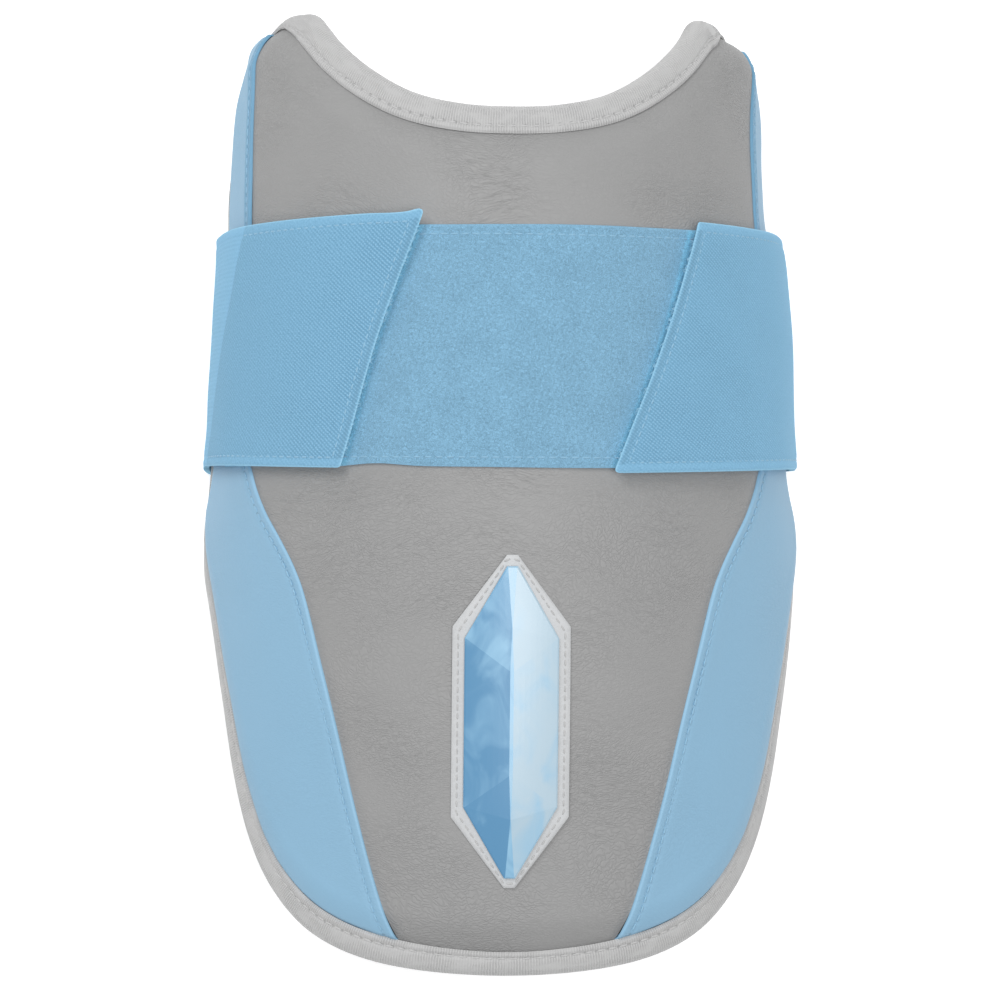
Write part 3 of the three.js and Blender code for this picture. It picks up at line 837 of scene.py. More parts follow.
def edge_binding():
    share = shares(TAPE_STEPS)[:, None]
    inwards, lift, front = tape_section(tape_face(share))
    pattern = eased(edge_at(np.broadcast_to(share, inwards.shape), inwards), np.maximum(0, front))
    run = share * edge_length
    sewn = pull_of_stitches(front, TAPE_STITCH_SHARE, run, TAPE_STITCH_PITCH, *TAPE_STITCH_PULL)
    drift = TAPE_SLACK_DRIFT * np.sin(run / TAPE_SLACK_DRIFT_LENGTH)
    slack = np.sin(2 * math.pi * run / TAPE_SLACK_LENGTH + drift)
    slack = slack * bell(front, TAPE_SLACK_SHARE, TAPE_SLACK_SPAN)
    raised = lift - sewn + TAPE_SLACK * slack + tape_flare(share)
    points = shell_point(pattern[..., 0], pattern[..., 1], raised)
    points[..., 2] = np.maximum(points[..., 2], 0)
    points[-1] = points[0]
    steps = np.hypot(np.diff(inwards[0]), np.diff(lift[0]))
    across = np.concatenate([[0], np.cumsum(steps)])
    chart = np.stack(np.broadcast_arrays(run, across[None]), -1)
    marks = {"front": np.broadcast_to(front, inwards.shape)}
    piece = grid_piece("edge_binding_tape", points, {"chart": chart}, marks)
    edit_all(piece)
    bpy.ops.mesh.remove_doubles(threshold=MERGE_WITHIN * MM)
    bpy.ops.object.mode_set(mode="OBJECT")
    thicken(piece, TAPE_THICKNESS)
    return piece, across[-1] * MM


def tape_stitches():
    share = shares(EDGE_POINTS - 1)
    reach = tape_face(share)
    inwards = lerp(TAPE_FOLD_RADIUS, reach, TAPE_STITCH_SHARE)
    start = TAPE_FOLD_LIFT + TAPE_FOLD_RADIUS
    level = lerp(start, tape_front(reach), TAPE_STITCH_SHARE) - TAPE_STITCH_SINK + tape_flare(share)
    track = np.concatenate([edge_at(share, inwards), level[:, None]], 1)
    return stitch_row(track, lambda points: points[:, 2], TAPE_STITCH_PITCH, TAPE_STITCH_SIZE)


# Strap and its fastening

def beside_strap(s, y):
    """How far points of the loop panel lie off the strap's nearer end."""
    gaps = []
    for side, end in STRAP_ENDS.items():
        q = np.clip((y - end["centre"]) / STRAP_END_WIDTH + 0.5, 0, 1)
        gaps.append(from_angle(end_angle(side, q)) - SIGN[side] * s)
    return np.minimum(*gaps)


def loop_panel():
    reach = from_angle(LOOP_ANGLE)
    u, v = np.meshgrid(*map(shares, LOOP_STEPS), indexing="ij")
    s, y = lerp(-reach, reach, u), lerp(LOOP_BOTTOM, LOOP_TOP, v)
    y = y + LOOP_WAVER * np.sin(s / LOOP_WAVER_LENGTH) * (2 * v - 1)
    y = y + LOOP_NICK * bell(s, LOOP_NICK_S, LOOP_NICK_SPAN) * (1 - v) ** 4
    inside = np.minimum(v, 1 - v) * (LOOP_TOP - LOOP_BOTTOM)
    sewn = pull_of_stitches(inside, BORDER_STITCH_IN, s, BORDER_STITCH_PITCH, *LOOP_STITCH_PULL)
    lift = LOOP_LIFT - LOOP_EDGE_DROP * np.exp(-inside / LOOP_EDGE_WIDTH) - sewn
    lift = lift + unevenness(s, y, *LOOP_SWELL)
    charts = {"chart": np.stack([s, y], -1)}
    marks = {"rim": inside, "beside": beside_strap(s, y)}
    piece = grid_piece("loop_panel_pile", shell_point(s, y, lift), charts, marks)
    return thicken(piece, LOOP_THICKNESS)


def loop_stitches():
    reach = from_angle(LOOP_ANGLE)
    level = LOOP_LIFT - LOOP_STITCH_SINK
    rows = []
    for y in (LOOP_BOTTOM + BORDER_STITCH_IN, LOOP_TOP - BORDER_STITCH_IN):
        track = np.array([(-reach, y), (reach, y)])
        rows.append(stitch_row(track, lambda points: level, LOOP_STITCH_PITCH, LOOP_STITCH_SIZE))
    return rows


def end_angle(side, q):
    """Angle of the strap's slanted end, by share of its width, with rounded corners."""
    end = STRAP_ENDS[side]
    inside = np.minimum(q, 1 - q) * STRAP_END_WIDTH
    corner = np.where(q < 0.5, *end["rounds"])
    cut = corner - np.sqrt(np.clip(corner**2 - np.maximum(0, corner - inside) ** 2, 0, None))
    bow = end["bow"] * np.sin(math.pi * np.clip(q, 0, 1)) ** BOW_EASE
    return lerp(end["bottom"], end["top"], q) + to_angle(cut + bow)


def strap_span(side, angle):
    """The strap's middle and its width, which narrows where it is stretched round the sides and back."""
    drawn = np.clip((angle - NARROW_FROM) / (NARROW_TO - NARROW_FROM), 0, 1)
    centre = lerp(STRAP_ENDS[side]["centre"], STRAP_CENTRE, drawn)
    return centre, lerp(STRAP_END_WIDTH, STRAP_WIDTH, drawn)


def strap_y(side, angle, q):
    centre, width = strap_span(side, angle)
    return centre + (q - 0.5) * width + corner_curl(side, angle, q)


def corner_curl(side, angle, q):
    """The left end's upper corner has curled up a little, and its edge dips beside it."""
    beyond = from_angle(angle - end_angle(side, q))
    curl = CURL * bell(beyond, 0, CURL_LENGTH) - CURL_DIP * bell(beyond, CURL_DIP_AT, CURL_DIP_LENGTH)
    return (side == "left") * curl * bell((1 - q) * STRAP_END_WIDTH, 0, CURL_WIDTH)


def strap_lift(side, angle, q):
    """The strap's underside: on the hook patch, its upper corner a little loose, then on the side cover."""
    settled = smoothstep(angle, SETTLE_FROM, SETTLE_TO)
    lift = lerp(HOOK_LIFT + GAP, STRAP_ENDS[side]["wall_lift"], settled)
    beyond = from_angle(angle - end_angle(side, q))
    loose = bell(beyond, 0, LOOSE_LENGTH) * bell((1 - q) * STRAP_END_WIDTH, 0, LOOSE_WIDTH)
    return lift - strap_press(angle, strap_y(side, angle, q)) + STRAP_ENDS[side]["loose"] * loose


def joint_angle(side, q):
    """Where the end tab is joined to the stretch."""
    return lerp(*STRAP_ENDS[side]["joint"], q)


def strap_flank(side, q):
    """One side of the strap's outer face: points, chart run and marks from its end to the lower corner."""
    sign = SIGN[side]
    t = shares(STRAP_FLANK_STEPS)[:, None]
    end = end_angle(side, q)
    angle = lerp(end, WALL_END, t)
    s, y = sign * from_angle(angle), strap_y(side, angle, q)
    inside = np.minimum(q, 1 - q) * STRAP_END_WIDTH
    rim = np.minimum(np.broadcast_to(inside, angle.shape), from_angle(angle - end) * RIM_ON_SLANT)
    sewn = STRAP_STITCH_PULL * bell(rim, BORDER_STITCH_IN, STRAP_STITCH_PULL_WIDTH)
    lift = strap_lift(side, angle, q) + STRAP_THICKNESS
    lift = lift - STRAP_EDGE_DROP * np.exp(-rim / STRAP_EDGE_WIDTH) - sewn + unevenness(s, y, *STRAP_SWELL)
    points = shell_point(s, y, lift)
    tab = from_angle(angle - joint_angle(side, q))
    foot_lift = strap_lift(side, np.full(q.shape, float(WALL_END)), q)
    foot = shell_point(sign * from_angle(WALL_END), strap_y(side, 90, q), foot_lift)
    turn = shares(STRAP_CORNER_STEPS)[1:, None] * math.pi / 2
    radius = STRAP_CORNER + STRAP_THICKNESS
    x = sign * (np.abs(foot[:, 0]) - STRAP_CORNER + radius * np.cos(turn))
    z = STRAP_THICKNESS + STRAP_CORNER - radius * np.sin(turn)
    drooped = foot[:, 1] - STRAP_ENDS[side]["dip"] * np.sin(turn)
    corner = np.stack(np.broadcast_arrays(x, drooped, z), -1)
    run = np.concatenate([from_angle(angle), from_angle(WALL_END) + radius * turn * np.ones(q.shape)])
    rims = np.concatenate([rim, np.broadcast_to(inside, corner.shape[:2])])
    tabs = np.concatenate([tab, np.broadcast_to(tab[-1], corner.shape[:2]) + PAST_JOINT_AT_CORNER])
    return np.concatenate([points, corner]), run, rims, tabs


def strap_band():
    even = shares(STRAP_WIDE_STEPS)
    q = lerp(even, smoothstep(even, 0, 1), STRAP_CROWDING)
    right, run_right, rim_right, tab_right = strap_flank("right", q)
    left, run_left, rim_left, tab_left = strap_flank("left", q)
    t = shares(STRAP_BACK_STEPS)[1:-1, None]
    back = lerp(right[-1], left[-1], t[..., None])
    width = np.linalg.norm(right[-1] - left[-1], axis=-1)
    whole = run_right[-1] + width + run_left[-1]
    run = np.concatenate([run_right, run_right[-1] + width * t, (whole - run_left)[::-1]])
    inside = np.minimum(q, 1 - q) * STRAP_WIDTH
    flat = np.ones((len(t), len(q)))
    rim = np.concatenate([rim_right, inside * flat, rim_left[::-1]])
    tab = np.concatenate([tab_right, PAST_JOINT_AT_BACK * flat, tab_left[::-1]])
    points = np.concatenate([right, back, left[::-1]])
    across = np.broadcast_to((q - 0.5) * STRAP_END_WIDTH, run.shape)
    charts = {"chart": np.stack([run, across], -1)}
    border = np.broadcast_to(inside, run.shape)
    piece = grid_piece("strap_elastic", points, charts, {"rim": rim, "border": border, "tab": tab})
    length = (whole - run_right[0] - run_left[0]).mean() * MM
    return thicken(piece, STRAP_THICKNESS), length


def strap_track(side, angles, q):
    return np.stack([SIGN[side] * from_angle(angles), strap_y(side, angles, q)], -1)


def strap_stitches(side):
    """Rows of stitches inside the tab's three free borders, and the seam where it joins the stretch."""
    inset = BORDER_STITCH_IN / STRAP_END_WIDTH
    end_inset = to_angle(BORDER_STITCH_IN) * INSET_ON_SLANT
    q = np.linspace(inset, 1 - inset, TRACK_POINTS)
    slant = strap_track(side, end_angle(side, q) + end_inset, q)
    joint = strap_track(side, joint_angle(side, q), q)
    tracks = [slant, joint]
    for edge_q in (inset, 1 - inset):
        start = end_angle(side, np.array(edge_q)) + end_inset
        angles = np.linspace(start, joint_angle(side, edge_q), TRACK_POINTS)
        tracks.append(strap_track(side, angles, edge_q))

    def lift_at(points):
        angle = to_angle(np.abs(points[:, 0]))
        centre, width = strap_span(side, angle)
        share = (points[:, 1] - centre) / width + 0.5
        return strap_lift(side, angle, share) + STRAP_THICKNESS - STRAP_STITCH_SINK

    return [stitch_row(track, lift_at, BORDER_STITCH_PITCH, STRAP_STITCH_SIZE) for track in tracks]


def frayed_end(side):
    """Loose ends of thread along the slanted end."""
    draw = np.random.default_rng(FRAYED_SEED)
    q = draw.uniform(*FRAYED_PLACE, FRAYED_THREADS)
    angle = end_angle(side, q)
    s, y = strap_track(side, angle, q).T
    lift = strap_lift(side, angle, q) + STRAP_THICKNESS * draw.uniform(*FRAYED_LEVEL, FRAYED_THREADS)
    root = shell_point(s, y, lift)
    normal = shell_normal(s, y)
    off_end = unit(shell_point(s - SIGN[side] * NUDGE, y, lift) - root)
    lean = draw.uniform(*FRAYED_LEAN, FRAYED_THREADS)[:, None]
    rise = draw.uniform(*FRAYED_RISE, FRAYED_THREADS)[:, None]
    heading = unit(off_end + lean * np.cross(normal, off_end) + rise * normal)
    reach = draw.uniform(*FRAYED_REACH, FRAYED_THREADS)[:, None]
    across = unit(np.cross(normal, heading))
    return root, heading * reach, across * FRAYED_THIN, np.cross(heading, across) * FRAYED_THIN


def hook_patch(side):
    margin = HOOK_INSET / STRAP_END_WIDTH
    q, t = np.meshgrid(np.linspace(margin, 1 - margin, HOOK_STEPS + 1), shares(HOOK_STEPS), indexing="xy")
    start = end_angle(side, q) + to_angle(HOOK_SET_BACK)
    pattern = strap_track(side, lerp(start, HOOK_END, t), q)
    if side == "left":
        pattern = pattern[::-1]
    points = shell_point(pattern[..., 0], pattern[..., 1], HOOK_LIFT)
    piece = grid_piece(f"hook_patch_{side}_fabric", points, {"chart": pattern})
    return thicken(piece, HOOK_THICKNESS), pattern_area(pattern)


# Badge

def badge_half_width(y):
    taper = (BADGE_HALF_HEIGHT - np.abs(y)) / (BADGE_HALF_HEIGHT - BADGE_SHOULDER)
    return lerp(BADGE_BLUNT, BADGE_HALF_WIDTH, np.minimum(1, taper))


def badge_patch():
    columns, rows = BADGE_STEPS
    across = 2 * shares(columns)[:, None] - 1
    y = BADGE_HALF_HEIGHT * (2 * shares(rows) - 1)[None]
    half = badge_half_width(y)
    s = across * half
    inside = np.minimum((half - np.abs(s)) * BADGE_SLOPE, BADGE_HALF_HEIGHT - np.abs(y))
    lift = GAP + BADGE_THICKNESS - BADGE_EDGE_DROP * np.exp(-inside / BADGE_EDGE_WIDTH)
    lift = lift - BADGE_STITCH_PULL * bell(inside, BADGE_STITCH_IN, BADGE_STITCH_PULL_WIDTH)
    pattern = np.stack([s, np.broadcast_to(BADGE_Y + y, s.shape)], -1)
    points = shell_point(pattern[..., 0], pattern[..., 1], lift)
    piece = grid_piece("badge_patch_border", points, {"chart": pattern})
    return thicken(piece, BADGE_THICKNESS), pattern_area(pattern)


def badge_outline(border):
    """The six-sided outline, its two points cut blunt, as pattern points from the centre."""
    top, shoulder = BADGE_HALF_HEIGHT - border, BADGE_SHOULDER - border
    half = BADGE_HALF_WIDTH - border
    right = [(BADGE_BLUNT, -top), (half, -shoulder), (half, shoulder), (BADGE_BLUNT, top)]
    return np.array(right + [(-s, y) for s, y in reversed(right)])


def badge_stitches():
    outline = badge_outline(BADGE_STITCH_IN) + (0, BADGE_Y)
    track = evenly(np.concatenate([outline, outline[:1]]), BADGE_STITCH_POINTS)
    level = GAP + BADGE_THICKNESS - BADGE_STITCH_SINK
    return stitch_row(track, lambda points: level, BADGE_STITCH_PITCH, BADGE_STITCH_SIZE)


def badge_inlay():
    """A moulded face like a hipped roof: a six-sided plate with a rim, rising to a ridge up its middle."""
    outline = badge_outline(INLAY_BORDER)
    bpy.ops.object.select_all(action="DESELECT")
    bpy.ops.mesh.primitive_circle_add(vertices=len(outline), radius=1, fill_type="NGON")
    piece = bpy.context.object
    piece.name = piece.data.name = "badge_inlay_face"
    for vertex, (s, y) in zip(piece.data.vertices, outline):
        vertex.co = (s, y, 0)
    edit_all(piece)
    bpy.ops.mesh.normals_make_consistent(inside=False)
    bpy.ops.mesh.select_mode(type="FACE")
    wall = INLAY_THICKNESS * INLAY_WALL_SHARE
    bpy.ops.mesh.extrude_region_move(TRANSFORM_OT_translate={"value": (0, 0, wall)})
    bpy.ops.mesh.inset(thickness=INLAY_RIM, depth=INLAY_RIM_RISE)
    bpy.ops.mesh.extrude_region_move(TRANSFORM_OT_translate={"value": (0, 0, INLAY_RIDGE)})
    bpy.ops.transform.resize(value=INLAY_RIDGE_SCALE)
    bpy.ops.object.mode_set(mode="OBJECT")
    return piece


# Materials

class Wire:
    """One socket of a paint's nodes. Arithmetic on it adds Math nodes."""

    def __init__(self, paint, socket):
        self.paint = paint
        self.socket = socket

    def math(self, operation, *others):
        return self.paint.node("ShaderNodeMath", {"operation": operation}, (self, *others))

    def __add__(self, other):
        return self.math("ADD", other)

    __radd__ = __add__

    def __mul__(self, other):
        return self.math("MULTIPLY", other)

    __rmul__ = __mul__

    def __sub__(self, other):
        return self.math("SUBTRACT", other)

    def __rsub__(self, other):
        return self.paint.node("ShaderNodeMath", {"operation": "SUBTRACT"}, (other, self))

    def __truediv__(self, other):
        return self.math("DIVIDE", other)

    def __pow__(self, other):
        return self.math("POWER", other)

    def __abs__(self):
        return self.math("ABSOLUTE")

    def wave(self, pitch):
        """Rises and falls between 0 and 1, once every pitch."""
        return (self * (2 * math.pi / pitch)).math("SINE") * 0.5 + 0.5

    def from_holes(self, pitch):
        """How far a run is from the nearest of the needle holes, one in every pitch."""
        return abs((self / pitch).math("FRACT") - 0.5) * pitch

    def ramp(self, low, high):
        """0 up to low, 1 from high, smooth between."""
        settings = {"interpolation_type": "SMOOTHSTEP"}
        inputs = {"Value": self, "From Min": low, "From Max": high}
        return self.paint.node("ShaderNodeMapRange", settings, inputs)


class Paint:
    """A material under construction, with one principled shader."""

    def __init__(self, name, **uniform):
        self.material = bpy.data.materials.new(name)
        self.material.use_nodes = True
        self.tree = self.material.node_tree
        self.shader = self.tree.nodes["Principled BSDF"]
        for socket, value in uniform.items():
            self.shader.inputs[socket.replace("_", " ")].default_value = value

    def node(self, kind, settings=None, inputs=(), output=0):
        """Adds a node, sets it up, fills its sockets with values or wires, and gives one of its outputs."""
        made = self.tree.nodes.new(kind)
        for name, value in (settings or {}).items():
            setattr(made, name, value)
        pairs = inputs.items() if isinstance(inputs, dict) else enumerate(inputs)
        for socket, value in pairs:
            self.fill(made.inputs[socket], value)
        return Wire(self, made.outputs[output])

    def fill(self, socket, value):
        if isinstance(value, Wire):
            self.tree.links.new(value.socket, socket)
        else:
            socket.default_value = value

    def set(self, socket, value):
        self.fill(self.shader.inputs[socket], value)

    def chart(self, name="chart"):
        """A pattern chart in millimetres: its vector and its two runs."""
        vector = self.node("ShaderNodeUVMap", {"uv_map": name})
        split = self.node("ShaderNodeSeparateXYZ", None, (vector,))
        return vector, split, Wire(self, split.socket.node.outputs[1])

    def mark(self, name):
        return self.node("ShaderNodeAttribute", {"attribute_name": name}, output="Fac")

    def stretched(self, vector, x, y):
        return self.node("ShaderNodeVectorMath", {"operation": "MULTIPLY"}, (vector, (x, y, 1)))

    def warped(self, vector, scale, amount):
        """The vector pushed about by noise."""
        inputs = {"Vector": vector, "Scale": scale}
        push = self.node("ShaderNodeTexNoise", {"noise_dimensions": "2D"}, inputs, "Color")
        push = self.node("ShaderNodeVectorMath", {"operation": "SCALE"}, {0: push, "Scale": amount})
        return self.node("ShaderNodeVectorMath", {"operation": "ADD"}, (vector, push))

    def noise(self, vector, scale, detail=3, roughness=0.55, distortion=0):
        inputs = {
            "Vector": vector,
            "Scale": scale,
            "Detail": detail,
            "Roughness": roughness,
            "Distortion": distortion,
        }
        return self.node("ShaderNodeTexNoise", {"noise_dimensions": "2D"}, inputs, "Fac")

    def blend(self, factor, first, second):
        inputs = {0: factor, 6: first, 7: second}
        return self.node("ShaderNodeMix", {"data_type": "RGBA"}, inputs, 2)

    def relief(self, height, depth, strength=1):
        """Bump of a height from 0 to 1 over a depth in millimetres."""
        inputs = {"Height": height, "Distance": depth * MM, "Strength": strength}
        self.set("Normal", self.node("ShaderNodeBump", None, inputs))


def shade(colour, factor):
    return tuple(min(1, c * factor) for c in colour[:3]) + (1,)


# Colours, as linear red, green, blue and alpha
GREY = (0.302, 0.302, 0.302, 1)
BLUE = (0.252, 0.44, 0.60, 1)
# FOLD_SHADE_BLUE is painted shade on the side covers' folded seam edge above the strap
FOLD_SHADE_BLUE = (0.135, 0.315, 0.475, 1)
TAPE_GREY = (0.485, 0.485, 0.485, 1)
LOOP_BLUE = (0.217, 0.417, 0.582, 1)
# PAINTED_BOUNCE_BLUE is painted light: the blue painted into the strap ends' shadow on the loop pile
PAINTED_BOUNCE_BLUE = (0.235, 0.565, 0.805, 1)
STRAP_BLUE = (0.19, 0.385, 0.55, 1)
WEAVE_DARK, WEAVE_LIGHT = (0.148, 0.328, 0.487, 1), (0.252, 0.482, 0.675, 1)
# LIP_HIGHLIGHT_BLUE is a painted highlight along the strap's cut edges
LIP_HIGHLIGHT_BLUE = (0.34, 0.63, 0.82, 1)
SHEEN_BLUE = (0.6, 0.85, 1.0, 1)
PAD_GREY = (0.30, 0.31, 0.32, 1)
HOOK_BLUE = (0.2, 0.4, 0.58, 1)
BORDER_DARK, BORDER_LIGHT = (0.47, 0.48, 0.49, 1), (0.62, 0.63, 0.64, 1)
FACET_DEEP, FACET_CLEAR, FACET_ICY = (0.10, 0.27, 0.46, 1), (0.27, 0.50, 0.69, 1), (0.42, 0.55, 0.64, 1)
THREAD_BLUE, THREAD_GREY = (0.27, 0.47, 0.63, 1), (0.50, 0.50, 0.50, 1)
THREAD_PALE, THREAD_FRAYED = (0.26, 0.47, 0.63, 1), (0.33, 0.61, 0.8, 1)
FLOOR_WHITE, WHITE = (0.9, 0.9, 0.9, 1), (1, 1, 1, 1)

# Depth of the leathers' grain, the y where the side covers' seam edges become shaded with painted shade, the
# weaves' pitches and slants, and where along the strap the right tab is painted lighter as it turns away and
# where the tabs face front
GREY_GRAIN, BLUE_GRAIN, SHADED_Y = 0.075, 0.03, (58, 72)
TAPE_RIB_PITCH, PAD_WEAVE_PITCH, HOOK_WEAVE_PITCH = 0.66, 0.9, 1.1
TWILL_RUN, TWILL_RISE, TWILL_PITCH, WEFT_PITCH = 0.64, 0.77, 0.74, 0.78
STRETCH_RIB_PITCH, STRETCH_KNIT_PITCH = 1.2, 0.6
TAB_TURN, TAB_TURN_END, TAB_FRONT = (10, 120), (150, 152), (18, 52)


def leather(name, colour, depth, seam=False):
    """Fine-grained leather: small cells drawn out across the arm, creased between, deeper in some places."""
    paint = Paint(name, Roughness=0.52, Specular_IOR_Level=0.3)
    vector, _, y = paint.chart()
    drawn = paint.warped(paint.warped(vector, 0.02, 24), 0.45, 2.0)
    cells = {"Vector": paint.stretched(drawn, 0.55, 1.5), "Scale": 1.0, "Randomness": 1.0}
    settings = {"voronoi_dimensions": "2D", "feature": "DISTANCE_TO_EDGE"}
    grain = paint.node("ShaderNodeTexVoronoi", settings, cells, "Distance").ramp(0.0, 0.3)
    fine = paint.noise(paint.stretched(drawn, 0.6, 1.2), 1.7, 3, 0.6)
    cloud = paint.noise(vector, 0.05, 2)
    strong = paint.noise(vector, 0.03, 1).ramp(0.3, 0.65) * 0.6 + 0.4
    tone = 0.3 * cloud + 0.3 * fine + 0.4 * (1 - (1 - grain) * strong)
    colour_wire = paint.blend(tone, shade(colour, 1 - 1.1 * depth), shade(colour, 1 + 0.7 * depth))
    height = (0.75 * grain + 0.4 * fine) * strong
    if seam:
        _, run, inside = paint.chart("seam")
        from_hole = run.from_holes(TOPSTITCH_PITCH)
        gap = ((from_hole * from_hole) + (inside - TOPSTITCH_IN) ** 2) ** 0.5
        hole = 1 - gap.ramp(0.2, 0.5)
        # Painted light on the folded seam edge: a painted highlight on the fold below the strap, and painted
        # shade just inside the edge above it
        shaded = y.ramp(*SHADED_Y)
        fold_highlight = (1 - inside.ramp(0.2, 0.9)) * (1 - shaded)
        fold_shade = (1 - inside.ramp(2.6, 4.2)) * shaded
        colour_wire = paint.blend(fold_highlight * 0.45, colour_wire, shade(colour, 1.25))
        colour_wire = paint.blend(fold_shade * 0.8, colour_wire, FOLD_SHADE_BLUE)
        colour_wire = paint.blend(hole * 0.45, colour_wire, shade(colour, 0.45))
        height = height - 1.2 * hole
    paint.set("Base Color", colour_wire)
    paint.set("Roughness", 0.46 + 0.14 * fine)
    paint.relief(height, 2.2 * depth, 0.7)
    return paint.material


def binding_tape():
    """Ribbed tape: fine uneven ribs square to its edge, over a soft cloth surface."""
    paint = Paint("binding_tape", Roughness=0.82, Specular_IOR_Level=0.15, Sheen_Weight=0.35)
    vector, run, _ = paint.chart()
    drift = paint.noise(paint.stretched(vector, 0.5, 1.0), 0.7, 2)
    rib = (run + 0.3 * drift).wave(TAPE_RIB_PITCH)
    fuzz = paint.noise(vector, 2.6, 3)
    patchy = paint.noise(paint.stretched(vector, 0.35, 1.0), 0.45, 2)
    strong = patchy.ramp(0.3, 0.62) * 0.75 + 0.25
    tone = 0.5 + (rib - 0.5) * strong * 0.8 + (fuzz - 0.5) * 0.5
    colour = paint.blend(tone, shade(TAPE_GREY, 0.84), shade(TAPE_GREY, 1.13))
    front = paint.mark("front")
    from_hole = run.from_holes(TAPE_STITCH_PITCH)
    row = (front - TAPE_STITCH_SHARE) * 5
    hole = 1 - ((from_hole * from_hole) + row * row * 1.6).ramp(0.06, 0.4)
    paint.set("Base Color", paint.blend(hole * 0.38, colour, shade(TAPE_GREY, 0.45)))
    paint.relief(rib * strong + 0.35 * fuzz - 0.8 * hole, 0.2, 0.8)
    return paint.material


def loop_fabric():
    """Loop pile: a soft mottle of curled fibres, and painted light: a clearer blue painted close beside the
    strap's ends, lifting and tinting their cast shadow.
    """
    paint = Paint("loop_fabric", Roughness=0.95, Specular_IOR_Level=0.05, Sheen_Weight=0.12)
    vector, _, _ = paint.chart()
    curl = paint.noise(vector, 1.7, 3, 0.7, 1.0)
    fibre = paint.noise(vector, 3.6, 2, 0.65, 0.8)
    patchy = paint.noise(vector, 0.12, 2)
    tone = 0.5 * curl + 0.42 * fibre + 0.08 * patchy
    bound = 1 - paint.mark("rim").ramp(0.1, 0.9)
    # Painted light: close beside the strap's ends, where their shadow falls, the pile is painted a clearer,
    # lighter blue
    gap = paint.mark("beside")
    beside = 1 - 0.86 * gap.ramp(-0.65, 0.65) - 0.14 * gap.ramp(0.5, 3.4)
    dark = paint.blend(beside, shade(LOOP_BLUE, 0.76), shade(PAINTED_BOUNCE_BLUE, 0.76))
    light = paint.blend(beside, shade(LOOP_BLUE, 1.3), shade(PAINTED_BOUNCE_BLUE, 1.3))
    colour = paint.blend(tone.ramp(0.34, 0.68), dark, light)
    paint.set("Base Color", paint.blend(bound * 0.4, colour, shade(LOOP_BLUE, 1.2)))
    paint.relief(0.6 * curl + 0.4 * fibre, 0.6, 0.7)
    return paint.material


def elastic():
    """Woven elastic: a slanting twill on the end tabs, the right one painted lighter as it turns away from
    the light, and fine ribs along the stretch beyond them."""
    paint = Paint("elastic", Roughness=0.9, Specular_IOR_Level=0.05, Sheen_Weight=0.2, Sheen_Tint=SHEEN_BLUE)
    vector, run, across = paint.chart()
    drift = paint.noise(vector, 0.45, 2)
    slope = (run * TWILL_RUN + across * TWILL_RISE + 0.4 * drift).wave(TWILL_PITCH)
    weft = (run * TWILL_RISE - across * TWILL_RUN + 0.2 * drift).wave(WEFT_PITCH)
    twill = slope * (0.35 + 0.65 * weft)
    ribbed = 0.3 + 0.25 * across.wave(STRETCH_RIB_PITCH) + 0.15 * run.wave(STRETCH_KNIT_PITCH)
    fuzz = paint.noise(vector, 1.9, 3, 0.65)
    patchy = paint.noise(vector, 0.07, 2)
    tab = paint.mark("tab")
    near_end = (0 - tab).ramp(*TAB_FRONT)
    strong = near_end * (patchy.ramp(0.3, 0.7) * 0.4 + 0.4) + 0.35
    stretch = tab.ramp(-0.4, 0.4)
    plain = 1 - paint.mark("border").ramp(1.6, 2.4)
    weave = 0.4 + (twill - 0.4) * strong
    weave = weave + (ribbed - weave) * stretch
    calm = weave + (0.45 - weave) * (plain * 0.7)
    tone = 0.46 * calm + 0.54 * fuzz
    colour = paint.blend(tone.ramp(0.22, 0.74), WEAVE_DARK, WEAVE_LIGHT)
    # Painted light: the right tab is painted lighter as it turns away, where its lighting falls off
    painted_turn_light = run.ramp(*TAB_TURN) * (1 - stretch) * (1 - run.ramp(*TAB_TURN_END))
    lighter = plain * 0.16 + stretch * 0.38 + painted_turn_light * 0.5
    colour = paint.blend(lighter, colour, shade(STRAP_BLUE, 1.4))
    rim = paint.mark("rim")
    # Painted shade: a darker line just inside the slanted ends' lip, where the sewn edge dips
    drawn_in = rim.ramp(0.4, 0.8) * (1 - rim.ramp(1.1, 1.8)) * (1 - plain)
    colour = paint.blend(drawn_in * 0.45, colour, shade(STRAP_BLUE, 0.8))
    # Painted highlight: a bright thin line along the strap's free edges
    lip_highlight = 1 - rim.ramp(0.1, 0.5)
    paint.set("Base Color", paint.blend(lip_highlight * 0.6, colour, LIP_HIGHLIGHT_BLUE))
    paint.relief(calm + 0.8 * fuzz, 0.26, 0.6)
    return paint.material


def plain_cloth(name, colour, pitch):
    """A fine plain weave or knit."""
    paint = Paint(name, Roughness=0.9, Specular_IOR_Level=0.15, Sheen_Weight=0.3)
    vector, run, across = paint.chart()
    weave = run.wave(pitch) * across.wave(pitch)
    fuzz = paint.noise(vector, 1.8, 3)
    tone = 0.5 * weave + 0.3 * fuzz + 0.2 * paint.noise(vector, 0.06, 2)
    paint.set("Base Color", paint.blend(tone, shade(colour, 0.75), shade(colour, 1.2)))
    paint.relief(weave + 0.4 * fuzz, 0.3, 0.7)
    return paint.material


def badge_border():
    paint = Paint("badge_border", Roughness=0.6, Specular_IOR_Level=0.3)
    vector, _, _ = paint.chart()
    grain = paint.noise(vector, 1.9, 3)
    cloud = paint.noise(vector, 0.2, 2)
    tone = 0.6 * grain + 0.4 * cloud
    paint.set("Base Color", paint.blend(tone, BORDER_DARK, BORDER_LIGHT))
    paint.relief(grain, 0.14, 0.5)
    return paint.material


